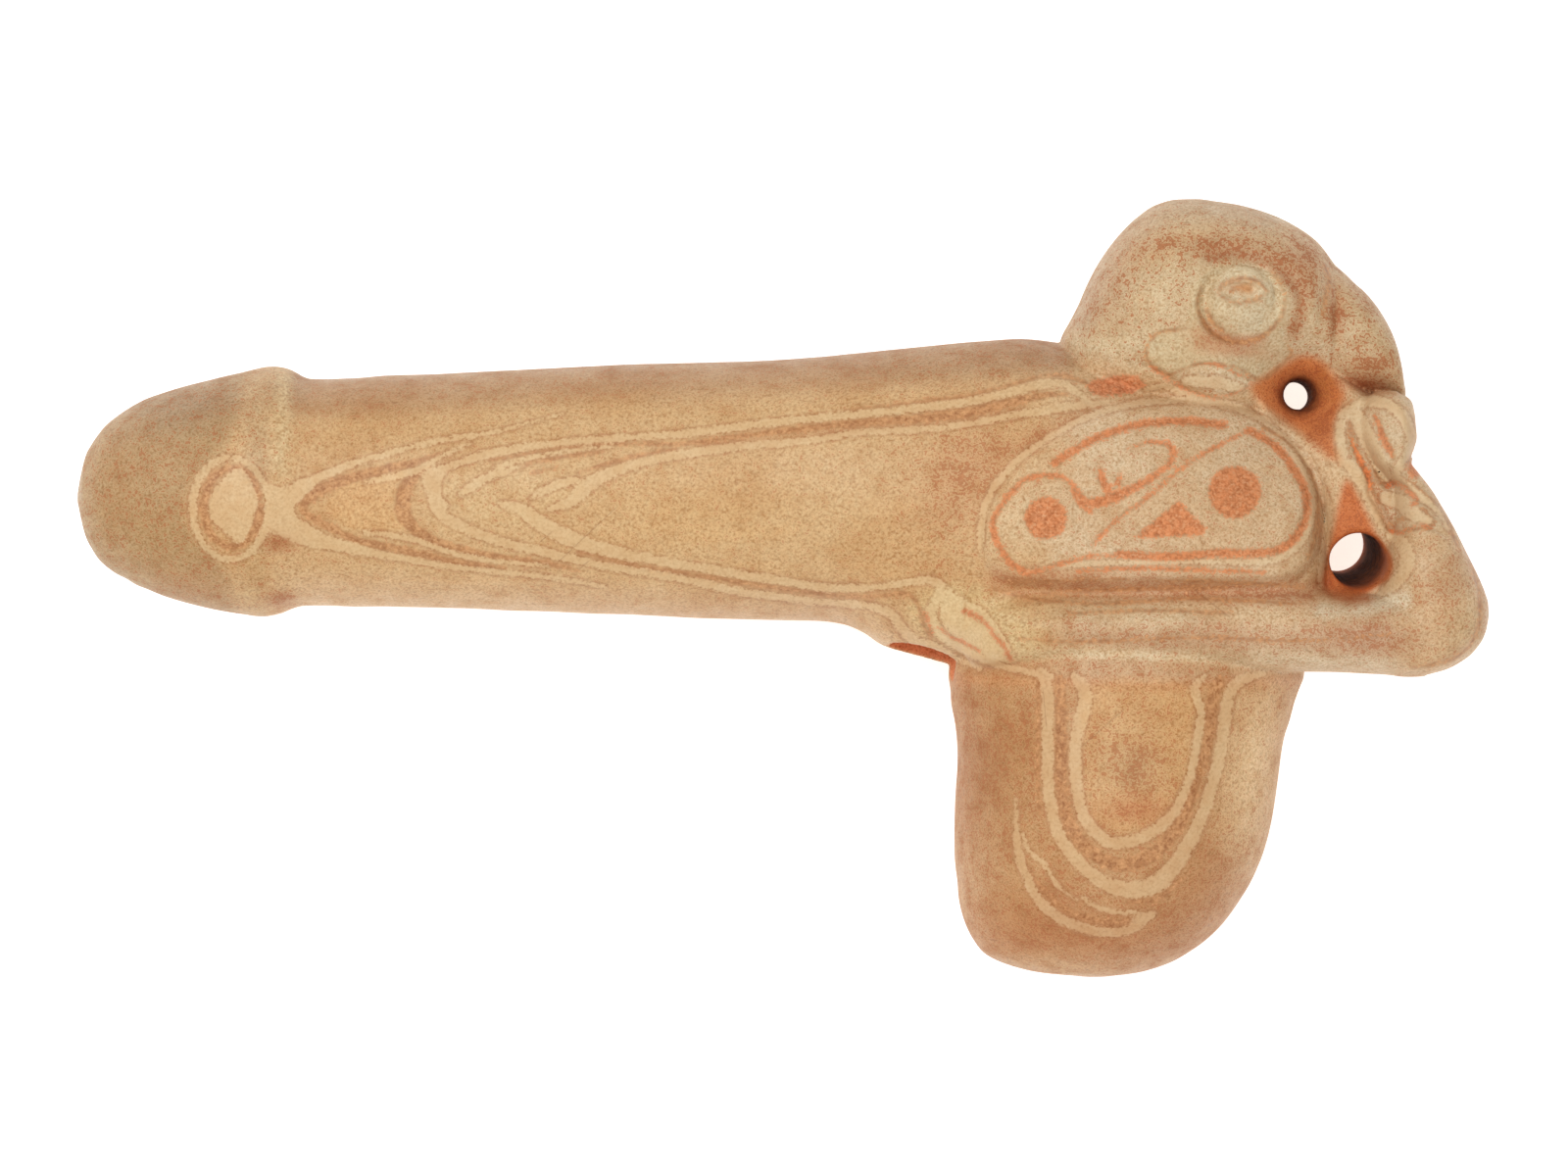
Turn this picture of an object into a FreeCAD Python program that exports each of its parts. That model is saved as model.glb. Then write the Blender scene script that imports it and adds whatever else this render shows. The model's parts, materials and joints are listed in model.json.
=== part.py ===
import FreeCAD, Part
import math
import os

# Effigy vessel flute (ocarina) in fired marbled clay.  A hollow barrel with a rounded nose cap
# carries air from the blow hole to a fipple block; the jet leaves the windway across an oval
# window and meets the labium, which sounds the hollow torso and the round pod below it.
# A crouching figure (head, folded arms, shoulder ornament) is built on the torso.
# The piece is hand-built: every node is one piece of clay, luted to its neighbours when
# leather-hard and fired as one body.
#
# Working axes while drawing: u along the barrel (nose at -u, figure at +u), v across it
# (head at +v, pod at -v), w through the piece (near flank +w, far flank -w, mid-plane w = 0).
# Side profiles are laid out on a drawing grid; GRID is millimetres per grid unit.

V = FreeCAD.Vector

# ---------------------------------------------------------------- driving dimensions (mm)
GRID = 0.146                 # mm per grid unit; the piece is 1438 units = 210 mm long
GRID_U0, GRID_V0 = 800.0, 600.0

WALL = 4.2                   # shell wall
HALF_DEPTH_TORSO = 23.0
HALF_DEPTH_PLATE = 25.18     # over the shoulder ornament
HALF_DEPTH_POD = 25.4
HALF_DEPTH_HEAD = 20.0
HALF_DEPTH_FACE = 14.5
HALF_DEPTH_WEB = 14.5        # clay web between head, shoulder and hands
HALF_DEPTH_HAND = 19.0
ARM_OFFSET = 11.3            # centre of each upper arm from the mid-plane
FOREARM_OFFSET = 10.6        # centre of each forearm from the mid-plane
BLOW_HOLE_R = 2.0
CORD_HOLE_R = 1.9
CORD_THROAT = 5.5            # half length of the straight part of the suspension hole
ARM_GAP_R = 4.3              # round gap in the bend of the arms
WINDWAY_WIDTH = 9.0
WINDOW_HALF_LENGTH = 5.3
WINDOW_HALF_WIDTH = 5
WINDOW_SHIFT = 3.2           # its centre lies this far towards the near flank
ORNAMENT_DEPTH = 0.7
ELBOW_PLANE = 1446.0         # grid station: upper arm | elbow
SPLIT_NOSE = 310.0           # grid station: nose cap | barrel
SPLIT_BARREL = 905.0         # grid station: barrel | torso
BLOCK_START = 822.0          # grid station: start of the fipple block
REST_TILT_DEG = -3.1         # lies on shoulder plate, pod and nose ridge


def gu(x):
    return (x - GRID_U0) * GRID


def gv(y):
    return (GRID_V0 - y) * GRID


# ---------------------------------------------------------------- drawing helpers
def resample(rows, count, crowd="none"):
    """Rows of (station, values...) carried to regular stations by a monotone cubic.

    Stations may crowd towards the last row or towards both ends, where a form rounds off."""
    rows = sorted(rows)
    xs = [r[0] for r in rows]
    n = len(rows)
    out = []
    for i in range(count):
        t = i / (count - 1)
        if crowd == "last":
            t = math.sin(t * math.pi / 2)
        elif crowd == "first":
            t = 1 - math.cos(t * math.pi / 2)
        elif crowd == "both":
            t = (1 - math.cos(t * math.pi)) / 2
        out.append([xs[0] + (xs[-1] - xs[0]) * t])
    for c in range(1, len(rows[0])):
        ys = [r[c] for r in rows]
        d = [(ys[i + 1] - ys[i]) / (xs[i + 1] - xs[i]) for i in range(n - 1)]
        m = [d[0]] + [0.0] * (n - 2) + [d[-1]]
        for i in range(1, n - 1):
            if d[i - 1] * d[i] > 0:
                h0, h1 = xs[i] - xs[i - 1], xs[i + 1] - xs[i]
                w1, w2 = 2 * h1 + h0, h1 + 2 * h0
                m[i] = (w1 + w2) / (w1 / d[i - 1] + w2 / d[i])
        for o in out:
            i = 0
            while i < n - 2 and o[0] > xs[i + 1]:
                i += 1
            h = xs[i + 1] - xs[i]
            t = (o[0] - xs[i]) / h
            o.append((2 * t ** 3 - 3 * t * t + 1) * ys[i] + (t ** 3 - 2 * t * t + t) * h * m[i]
                     + (-2 * t ** 3 + 3 * t * t) * ys[i + 1] + (t ** 3 - t * t) * h * m[i + 1])
    return out


def section_face(rows, axis="u", power=2.15, count=24, ring=15, crowd="none"):
    """Rounded surface on the w >= 0 side, through sections (station, edge a, edge b, half depth)."""
    grid = []
    for s, a, b, w in resample(rows, count, crowd):
        line = []
        for k in range(ring):
            t = math.pi * k / (ring - 1)
            c = math.cos(t)
            cc = 0.0 if abs(c) < 1e-9 else math.copysign(abs(c) ** (2 / power), c)
            ss = abs(math.sin(t)) ** (2 / power) if 0 < k < ring - 1 else 0.0
            if axis == "u":
                line.append(V(gu(s), (gv(a) + gv(b)) / 2 + (gv(a) - gv(b)) / 2 * cc, w * ss))
            else:
                line.append(V((gu(a) + gu(b)) / 2 + (gu(b) - gu(a)) / 2 * cc, gv(s), w * ss))
        grid.append(line)
    surf = Part.BSplineSurface()
    surf.interpolate(grid)
    face = surf.toShape()

    def lies_flat(e):
        span = e.LastParameter - e.FirstParameter
        return all(abs(e.valueAt(e.FirstParameter + span * f).z) < 1e-6 for f in (0.25, 0.5, 0.75))

    return face, [e for e in face.Edges if lies_flat(e)], [e for e in face.Edges if not lies_flat(e)]


def sewn_solid(faces):
    sewn = Part.makeCompound(faces)
    sewn.sewShape(1e-4)
    solid = Part.makeSolid(sewn.Shells[0])
    if solid.Volume < 0:
        solid.reverse()
    return solid


def half_solid(rows, axis="u", power=2.15, count=24, ring=15, crowd="none"):
    """Rounded solid on the w >= 0 side."""
    face, flat, ends = section_face(rows, axis, power, count, ring, crowd)
    faces, lines = [face], []
    for e in ends:
        lines.append(Part.makeLine(e.Vertexes[0].Point, e.Vertexes[-1].Point))
        faces.append(Part.Face(Part.Wire(Part.__sortEdges__([e, lines[-1]]))))
    faces.append(Part.Face(Part.Wire(Part.__sortEdges__(flat + lines))))
    return sewn_solid(faces)


def mirrored(shape):
    return shape.mirror(V(0, 0, 0), V(0, 0, 1))


def tube(rows, offset, axis="u", power=2.15, count=24, crowd="none"):
    """Full rounded limb, centred `offset` from the mid-plane, kept on the w >= 0 side."""
    face, flat, ends = section_face(rows, axis, power, count, crowd=crowd)
    faces = [face, mirrored(face)]
    for e in ends:
        faces.append(Part.Face(Part.Wire(Part.__sortEdges__([e, mirrored(e)]))))
    full = sewn_solid(faces)
    full.translate(V(0, 0, offset))
    return full.common(Part.makeBox(400, 400, 200, V(-200, -200, 0)))


def closed_spline(points):
    c = Part.BSplineCurve()
    c.interpolate(points, PeriodicFlag=True)
    return Part.Wire([c.toShape()])


def prism(outline, w_low, w_high, spline=True):
    pts = [V(gu(x), gv(y), w_low) for x, y in outline]
    wire = closed_spline(pts) if spline else Part.makePolygon(pts + pts[:1])
    return Part.Face(wire).extrude(V(0, 0, w_high - w_low))


def ribbon(path, width, w_low, w_high):
    """Band of the given width (grid units) along a path, as a prism with rounded-off corners."""
    left, right = [], []
    for i, (x, y) in enumerate(path):
        x0, y0 = path[max(i - 1, 0)]
        x1, y1 = path[min(i + 1, len(path) - 1)]
        d = math.hypot(x1 - x0, y1 - y0)
        nx, ny = -(y1 - y0) / d * width / 2, (x1 - x0) / d * width / 2
        left.append((x + nx, y + ny))
        right.append((x - nx, y - ny))
    return prism(left + right[::-1], w_low, w_high, spline=False)


def one_solid(shape, least=1.0):
    keep = sorted((s for s in shape.Solids if s.Volume > least), key=lambda s: -s.Volume)
    return keep[0]


# ---------------------------------------------------------------- body: barrel and torso
# station, top, bottom (grid), half depth (mm)
BODY = [
    (310, 386, 618, 17.0), (360, 386, 618.5, 17.05), (440, 382, 620, 17.3), (520, 378, 623, 17.8),
    (600, 374, 626, 18.4), (680, 371, 629, 18.8), (760, 369, 632, 19.2), (820, 366, 633.5, 19.5),
    (860, 362, 637, 19.9), (880, 360, 645, 20.2), (900, 358, 658, 20.5), (920, 356, 665, 20.8),
    (960, 353, 675, 21.4), (1000, 352, 681, 22.0), (1060, 360, 684, 22.6), (1120, 372, 685, 22.9),
    (1180, 386, 685, HALF_DEPTH_TORSO), (1240, 398, 685, 22.6), (1290, 416, 682, 21.0),
    (1325, 448, 672, 17.5), (1346, 490, 655, 12.0), (1354, 530, 625, 6.0),
]
wall = WALL / GRID
INNER = [(x, t + wall, b - wall, w - WALL) for x, t, b, w in BODY if x < 1300] + [(1318, 470, 640, 9.0)]
body_outer = half_solid(BODY, count=36)
body_inner = half_solid(INNER, power=2.1, count=34)

# ---------------------------------------------------------------- pod
POD = [
    (612, 985, 1318, 19.5), (650, 974, 1330, 21.5), (688, 968, 1330, 22.8), (720, 971, 1319, 23.9),
    (765, 977, 1307, 25.0), (810, 975, 1301, HALF_DEPTH_POD), (855, 974, 1292, 25.0),
    (900, 977, 1275, 23.2), (930, 981, 1256, 20.8), (960, 994, 1228, 17.0), (975, 1008, 1206, 14.0),
    (985, 1033, 1182, 11.0), (992, 1066, 1154, 7.2), (996, 1100, 1122, 2.6),
]
POD_INNER = [(y, l + wall, r - wall, w - WALL) for y, l, r, w in POD if 640 < y < 940] + [(964, 1062, 1166, 7.0)]
pod_outer = half_solid(POD, "v", count=34, crowd="last")
pod_inner = half_solid(POD_INNER, "v", power=2.1, count=24, crowd="last")

# ---------------------------------------------------------------- head and face
HEAD = [
    (1081, 349, 388, 6.0), (1089, 333, 398, 9.0), (1100, 311, 412, 12.2), (1120, 270, 424, 15.4),
    (1140, 242, 431, 17.4), (1160, 222, 436, 18.6), (1190, 206, 440, 19.6), (1225, 204, 440, HALF_DEPTH_HEAD),
    (1260, 209, 436, 19.9), (1300, 221, 430, 19.0), (1325, 234, 424, 17.6), (1345, 250, 416, 15.4),
    (1362, 276, 406, 12.0), (1372, 304, 392, 8.0),
]
HEAD_INNER = [(1118, 330, 372, 4.0), (1135, 292, 392, 8.5), (1160, 256, 400, 12.6), (1200, 238, 402, 14.6),
              (1250, 238, 398, 14.6), (1295, 254, 388, 12.6), (1325, 282, 372, 8.5), (1338, 304, 352, 5.0)]
head_outer = half_solid(HEAD, power=2.3, count=32, crowd="both")
head_inner = half_solid(HEAD_INNER, count=18)
FACE = [
    (1336, 262, 404, 11.5), (1352, 262, 407, 13.0), (1366, 274, 409, 14.2), (1380, 289, 410, HALF_DEPTH_FACE),
    (1400, 310, 412, 13.9), (1415, 335, 412, 12.2), (1424, 366, 412, 9.8), (1432, 390, 411, 6.8),
    (1437, 400, 410, 3.4),
]
face_outer = half_solid(FACE, power=2.4, count=20, crowd="last")

# ---------------------------------------------------------------- arms, hands, wrist bands
UPPER_ARM = [
    (977, 634, 676, 6.2), (992, 620, 681, 8.4), (1020, 611, 684, 10.0), (1100, 606, 685, 11.4),
    (1200, 604, 686, 12.0), (1300, 604, 686, 12.0), (1380, 605, 687, 12.0), (1446, 604, 689, 11.9),
]
FOREARM = [
    (536, 1424, 1482, 9.8), (560, 1425, 1494, 10.8), (592, 1425, 1510, 11.5),
    (616, 1424, 1518, 11.9), (628, 1424, 1518, 12.0), (640, 1423, 1515, 11.9), (652, 1422, 1511, 11.6),
    (664, 1421, 1502, 11.0), (676, 1421, 1487, 9.4), (684, 1422, 1470, 6.9), (689, 1426, 1444, 2.5),
]
BAND = [(509, 1415, 1472, 9.9), (518, 1413, 1479, 10.5), (528, 1414, 1484, 10.6), (536, 1416, 1486, 10.1)]
HAND = [
    (412, 1386, 1438, 14.5), (422, 1375, 1445, 17.0), (440, 1373, 1447, 18.6), (460, 1382, 1446, HALF_DEPTH_HAND),
    (480, 1394, 1450, 18.8), (498, 1406, 1458, 18.2), (509, 1414, 1463, 17.6),
]
arm_outer = tube(UPPER_ARM, ARM_OFFSET, count=30, crowd="first")
fore_outer = tube(FOREARM, FOREARM_OFFSET, "v", count=28, crowd="last")
band_outer = tube(BAND, FOREARM_OFFSET - 0.4, "v", count=8)
hand_outer = half_solid(HAND, "v", power=2.3, count=18)

# ---------------------------------------------------------------- neck web, funnel, holes
WEB = [(1268, 404), (1300, 382), (1336, 370), (1372, 380), (1392, 404), (1392, 440), (1400, 480),
       (1409, 506), (1411, 536), (1423, 538), (1423, 603), (1344, 603), (1340, 540), (1330, 500), (1304, 456), (1276, 432)]
CORD_HOLE = (1322.0, 404.0)
funnel = Part.makeCone(CORD_HOLE_R, 8.6, 24.5, V(gu(CORD_HOLE[0]), gv(CORD_HOLE[1]), CORD_THROAT), V(0, 0, 1))
cord_bore = Part.makeCylinder(CORD_HOLE_R, 80, V(gu(CORD_HOLE[0]), gv(CORD_HOLE[1]), -40))
gap_near = V(gu(1375), gv(574), 18)
gap_far = V(gu(1373), gv(550), -18)
gap_dir = (gap_near - gap_far).normalize()
arm_gap = Part.makeCylinder(ARM_GAP_R, 80, (gap_near + gap_far) * 0.5 - gap_dir * 40, gap_dir)
# dished surface between shoulder, hand and head: nothing stands prouder than the web here
DISH = [(1334, 424), (1364, 404), (1369, 440), (1377, 466), (1389, 492), (1402, 520), (1404, 546),
        (1368, 546), (1352, 506), (1340, 460)]
dish = prism(DISH, HALF_DEPTH_WEB, 60, spline=False)
web = prism(WEB, 0, HALF_DEPTH_WEB, spline=False)

# ---------------------------------------------------------------- window, windway, labium
WINDOW = (942.0, 667.0)
slope = math.radians(-18.4)              # the window's chord falls towards the figure
lean = math.radians(21)                  # the opening leans towards the near flank
along = V(math.cos(slope), math.sin(slope), 0)
down = V(math.sin(slope) * math.cos(lean), -math.cos(slope) * math.cos(lean), math.sin(lean))
e = Part.Ellipse()
e.MajorRadius, e.MinorRadius = WINDOW_HALF_LENGTH, WINDOW_HALF_WIDTH
oval = Part.Wire([e.toShape()])
oval.Placement = FreeCAD.Placement(V(gu(WINDOW[0]), gv(WINDOW[1]), WINDOW_SHIFT) - down * 9,
                                   FreeCAD.Rotation(along, down.cross(along), down, "ZXY"))
window_cut = Part.Face(oval).extrude(down * 14)
windway = prism([(800, 593), (862, 599.5), (882, 607), (905, 620), (930, 634), (930, 700), (800, 700)],
                -WINDWAY_WIDTH / 2, WINDWAY_WIDTH / 2, spline=False)
block_box = Part.makeBox(gu(SPLIT_BARREL) - gu(BLOCK_START), 100, 100, V(gu(BLOCK_START), -50, -50))
labium_blank = prism([(962, 640), (1002, 640), (1002, 672), (984, 676)],
                     -WINDWAY_WIDTH / 2, WINDWAY_WIDTH / 2, spline=False)
labium = one_solid(labium_blank.cut(window_cut), 0.1)
block_half = body_inner.common(block_box)
fipple_block = one_solid(block_half.fuse(mirrored(block_half)).cut(windway))

# ---------------------------------------------------------------- shells (near side, before the slanted holes)
hollow = body_outer.cut(body_inner).cut(pod_inner).cut(arm_outer).cut(web).cut(funnel).cut(dish)
barrel_box = Part.makeBox(gu(SPLIT_BARREL) - gu(SPLIT_NOSE), 200, 200, V(gu(SPLIT_NOSE), -100, -100))
torso_box = Part.makeBox(200, 200, 200, V(gu(SPLIT_BARREL), -100, -100))
barrel = hollow.common(barrel_box)
torso = hollow.common(torso_box)
pod = pod_outer.cut(pod_inner).cut(body_outer).cut(arm_outer)

EYE = (1266.0, 315.0)
EYE_R, SOCKET_R, SOCKET_FLOOR = 5.2, 6.8, 14.8
socket = Part.makeCylinder(SOCKET_R, 30, V(gu(EYE[0]), gv(EYE[1]), SOCKET_FLOOR))
ball = Part.makeSphere(EYE_R, V(gu(EYE[0]), gv(EYE[1]), SOCKET_FLOOR + 0.4))
eye = ball.common(Part.makeCylinder(EYE_R + 1, 20, V(gu(EYE[0]), gv(EYE[1]), SOCKET_FLOOR)))
head = head_outer.cut(head_inner).cut(body_outer).cut(web).cut(funnel).cut(socket)
CHEEK = [
    (1169, 354), (1178, 343), (1196, 340), (1212, 342), (1232, 354), (1262, 362), (1296, 356),
    (1314, 356), (1306, 372), (1288, 386), (1262, 384), (1236, 374), (1212, 378), (1190, 384), (1174, 372),
]
cheek_skin = half_solid([(x, t - 9, b + 9, w + 1.3) for x, t, b, w in HEAD], power=2.3, count=32, crowd="both")
cheek = cheek_skin.common(prism(CHEEK, 4, 30)).cut(head_outer).cut(body_outer).cut(funnel).cut(socket)
face = face_outer.cut(head_outer).cut(body_outer).cut(web).cut(funnel)
web = web.cut(funnel).cut(cord_bore).cut(arm_outer)
hand = hand_outer.cut(web)
band = band_outer
elbow_step = Part.makeBox(300, 100, 200, V(gu(ELBOW_PLANE) - 300, gv(604) - 100, -100))
forearm = fore_outer.cut(elbow_step)
upper_arm = arm_outer

# ---------------------------------------------------------------- shoulder ornament
PLATE = [
    (1003, 560), (1010, 520), (1034, 482), (1074, 447), (1122, 422), (1180, 409), (1238, 409),
    (1288, 424), (1322, 452), (1342, 490), (1346, 532), (1332, 572), (1300, 592), (1230, 598),
    (1150, 600), (1080, 600), (1030, 590),
]
rise = HALF_DEPTH_PLATE - HALF_DEPTH_TORSO
PLATE_SKIN = [(x, t - 20, b + 16, w + rise) for x, t, b, w in BODY if 890 < x < 1340] + [(1362, 500, 640, 11.0)]
plate_skin = half_solid(PLATE_SKIN, count=26)
plate_floor = half_solid([(x, t, b, w - ORNAMENT_DEPTH) for x, t, b, w in PLATE_SKIN], count=26)
plate = plate_skin.common(prism(PLATE, 6, 40)).cut(body_outer).cut(arm_outer).cut(head_outer).cut(funnel).cut(dish)
CHANNEL = [(1080, 470), (1115, 449), (1149, 437), (1187, 431), (1218, 430), (1246, 434)]
CHANNEL_RIGHT = [(1278, 441), (1302, 457), (1320, 480), (1330, 506), (1328, 532), (1313, 553), (1287, 563),
                 (1241, 565), (1195, 568), (1145, 566)]
CHANNEL_LEFT = [(1050, 484), (1028, 508), (1018, 536), (1024, 562), (1044, 580)]
TRIANGLE = [(1154, 549), (1203, 509), (1232, 541), (1222, 547)]
TONGUE = [(1118, 516), (1150, 502), (1180, 481), (1199, 456), (1186, 451), (1157, 457), (1124, 472),
          (1120, 482), (1136, 493)]
recesses = [ribbon(CHANNEL, 10, 6, 60), ribbon(CHANNEL_RIGHT, 10, 6, 60), ribbon(CHANNEL_LEFT, 9, 6, 60),
            prism(TRIANGLE, 6, 60, spline=False), prism(TONGUE, 6, 60, spline=False),
            Part.makeCylinder(27 * GRID, 60, V(gu(1260), gv(502), 6)),
            Part.makeCylinder(21 * GRID, 60, V(gu(1069), gv(530), 6))]
for shape in recesses:
    plate = plate.cut(shape.cut(plate_floor))

# ---------------------------------------------------------------- nose cap (turned, then eased off the barrel's line)
NOSE_AXIS, NOSE_EASE_DEG = 503.9, 1.9
NOSE = [
    (80, 0), (81, 20), (85, 35), (91, 47), (100, 62), (112, 74.5), (128, 86.5), (150, 97), (175, 105.5),
    (205, 114), (235, 121), (258, 125.8), (272, 127.2), (284, 126), (295, 122.5), (305, 118), (318, 116),
]
NOSE_INNER = [(318, 87.2), (280, 90), (230, 88), (180, 74), (150, 52), (134, 26), (129, 0)]
BLOW_HOLE_V = 532.0


def turned(rows):
    c = Part.BSplineCurve()
    c.interpolate([V(gu(x), gv(NOSE_AXIS) + r * GRID, 0) for x, r in rows])
    return c.toShape()


outline = Part.Wire([
    turned(NOSE),
    Part.makeLine(V(gu(318), gv(NOSE_AXIS) + 116 * GRID, 0), V(gu(318), gv(NOSE_AXIS) + 87.2 * GRID, 0)),
    turned(NOSE_INNER),
    Part.makeLine(V(gu(129), gv(NOSE_AXIS), 0), V(gu(80), gv(NOSE_AXIS), 0)),
])
nose = Part.Face(outline).revolve(V(gu(0), gv(NOSE_AXIS), 0), V(1, 0, 0), 360)
nose = nose.Solids[0] if nose.Solids else Part.makeSolid(nose.Shells[0])
nose.rotate(V(gu(200), gv(NOSE_AXIS), 0), V(0, 0, 1), NOSE_EASE_DEG)
nose = nose.cut(Part.makeBox(60, 200, 200, V(gu(SPLIT_NOSE), -100, -100)))
nose = nose.cut(Part.makeCylinder(BLOW_HOLE_R, 24, V(gu(60), gv(BLOW_HOLE_V), 0), V(1, 0, 0)))

# ---------------------------------------------------------------- nodes
slanted = [arm_gap, window_cut, labium_blank]
NODES = {"nose_cap": nose,
         "face_block": face.fuse(mirrored(face)),
         "neck_web": web.fuse(mirrored(web)).cut(arm_gap),
         "fipple_block": fipple_block,
         "labium": labium}
for name, shape, cuts in (
        ("barrel_shell", barrel, []), ("torso_shell", torso, slanted), ("pod_shell", pod, [window_cut]),
        ("head_shell", head, []), ("eye_pellet", eye, []), ("cheek_plate", cheek, []),
        ("shoulder_plate", plate, [arm_gap]), ("upper_arm", upper_arm, [arm_gap]),
        ("forearm", forearm, [arm_gap]), ("wrist_band", band, [arm_gap]), ("hand", hand, [arm_gap])):
    for side, s in (("near", shape), ("far", mirrored(shape))):
        for c in cuts:
            s = s.cut(c)
        NODES["%s_%s" % (name, side)] = s

tilt = FreeCAD.Placement(V(0, 0, 0), FreeCAD.Rotation(V(0, 1, 0), REST_TILT_DEG))
made = {}
for name, shape in NODES.items():
    print("%-22s solids %s valid %s" % (name, [round(s.Volume, 1) for s in shape.Solids], shape.isValid()))
    s = one_solid(shape).copy()
    s.Placement = tilt.multiply(s.Placement)
    made[name] = s

boxes = [s.optimalBoundingBox(False) for s in made.values()]
shift = V(-(min(b.XMin for b in boxes) + max(b.XMax for b in boxes)) / 2,
          -(min(b.YMin for b in boxes) + max(b.YMax for b in boxes)) / 2,
          -min(b.ZMin for b in boxes))
print("shift", shift)

os.makedirs("parts", exist_ok=True)
for name, s in made.items():
    s.translate(shift)
    s.exportStep("parts/%s.step" % name)
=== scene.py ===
import bpy
import json
import math
import numpy as np
import openvdb as vdb
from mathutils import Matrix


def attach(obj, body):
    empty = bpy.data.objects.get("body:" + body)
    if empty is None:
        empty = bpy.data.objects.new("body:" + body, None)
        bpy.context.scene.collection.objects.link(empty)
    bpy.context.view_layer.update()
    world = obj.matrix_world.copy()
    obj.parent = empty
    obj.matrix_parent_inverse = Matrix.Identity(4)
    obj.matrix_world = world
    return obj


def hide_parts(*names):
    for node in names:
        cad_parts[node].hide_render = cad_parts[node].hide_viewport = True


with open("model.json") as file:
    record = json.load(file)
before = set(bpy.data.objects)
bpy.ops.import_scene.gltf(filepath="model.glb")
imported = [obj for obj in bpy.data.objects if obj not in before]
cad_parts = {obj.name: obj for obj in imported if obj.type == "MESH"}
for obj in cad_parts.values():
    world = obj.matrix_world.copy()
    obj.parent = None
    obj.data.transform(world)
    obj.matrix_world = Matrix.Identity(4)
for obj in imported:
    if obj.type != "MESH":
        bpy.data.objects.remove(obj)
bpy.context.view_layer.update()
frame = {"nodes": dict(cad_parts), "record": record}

# ------------------------------------------------------------------ drawing frame
# The flute is laid out on a drawing grid (G mm per unit), u to the right, v up, w towards the
# viewer, with the mirror plane at w = 0.  Row frame = rotation by TILT about Y, then SHIFT.
G = 0.146
CX, CY = 800.0, 600.0
TILT = math.radians(-3.1)
SHIFT = np.array([-0.148447, 0.000430, 22.741855])
VIEW_D = 800.0            # mm from the mid-plane to the eye that the side drawing is taken from
H = 0.42                  # mm, surface grid
rot = np.array([[math.cos(TILT), 0, math.sin(TILT)], [0, 1, 0], [-math.sin(TILT), 0, math.cos(TILT)]])


def U(x):
    return (np.asarray(x, float) - CX) * G


def Vv(y):
    return (CY - np.asarray(y, float)) * G


def to_row(p):
    return (p @ rot.T + SHIFT) / 1000.0


def near_to_real(pts, w):
    """Drawing-view points seen on a surface w mm in front of the mid-plane, moved to true place."""
    p = np.asarray(pts, float)
    f = (VIEW_D - w) / VIEW_D
    return np.stack([CX + (p[:, 0] - CX) * f, CY + (p[:, 1] - CY) * f], 1)


# ------------------------------------------------------------------ small numeric tools
def pchip(xs, ys, x):
    """Monotone cubic, carried on in a straight line past both ends."""
    xs, ys = np.asarray(xs, float), np.asarray(ys, float)
    d = np.diff(ys) / np.diff(xs)
    h = np.diff(xs)
    m = np.zeros(len(xs))
    m[0], m[-1] = d[0], d[-1]
    for i in range(1, len(xs) - 1):
        if d[i - 1] * d[i] > 0:
            w1, w2 = 2 * h[i] + h[i - 1], h[i] + 2 * h[i - 1]
            m[i] = (w1 + w2) / (w1 / d[i - 1] + w2 / d[i])
    i = np.clip(np.searchsorted(xs, x) - 1, 0, len(xs) - 2)
    t = (x - xs[i]) / h[i]
    tc = np.clip(t, 0, 1)
    y = ((2 * tc ** 3 - 3 * tc ** 2 + 1) * ys[i] + (tc ** 3 - 2 * tc ** 2 + tc) * h[i] * m[i]
         + (-2 * tc ** 3 + 3 * tc ** 2) * ys[i + 1] + (tc ** 3 - tc ** 2) * h[i] * m[i + 1])
    return y + np.where(t < 0, t * h[i] * m[0], 0) + np.where(t > 1, (t - 1) * h[i] * m[-1], 0)


def smax(a, b, k):
    h = np.maximum(k - np.abs(a - b), 0) / k
    return np.maximum(a, b) + h * h * k / 4


def smin(a, b, k):
    return -smax(-a, -b, k)


def ramp(x, lo, hi):
    t = np.clip((x - lo) / (hi - lo), 0, 1)
    return t * t * (3 - 2 * t)


class Sheet:
    """A 2-D field on the drawing plane, in drawing units, read with bilinear sampling."""

    def __init__(self, x0, x1, y0, y1, step):
        self.x0, self.y0, self.step = x0, y0, step
        self.nx, self.ny = int(round((x1 - x0) / step)) + 1, int(round((y1 - y0) / step)) + 1
        self.X, self.Y = np.meshgrid(x0 + step * np.arange(self.nx), y0 + step * np.arange(self.ny), indexing="ij")

    def at(self, field, x, y):
        fx = np.clip((x - self.x0) / self.step, 0, self.nx - 1.001)
        fy = np.clip((y - self.y0) / self.step, 0, self.ny - 1.001)
        ix, iy = fx.astype(np.int64), fy.astype(np.int64)
        tx, ty = fx - ix, fy - iy
        return ((field[ix, iy] * (1 - tx) + field[ix + 1, iy] * tx) * (1 - ty)
                + (field[ix, iy + 1] * (1 - tx) + field[ix + 1, iy + 1] * tx) * ty)


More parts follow.
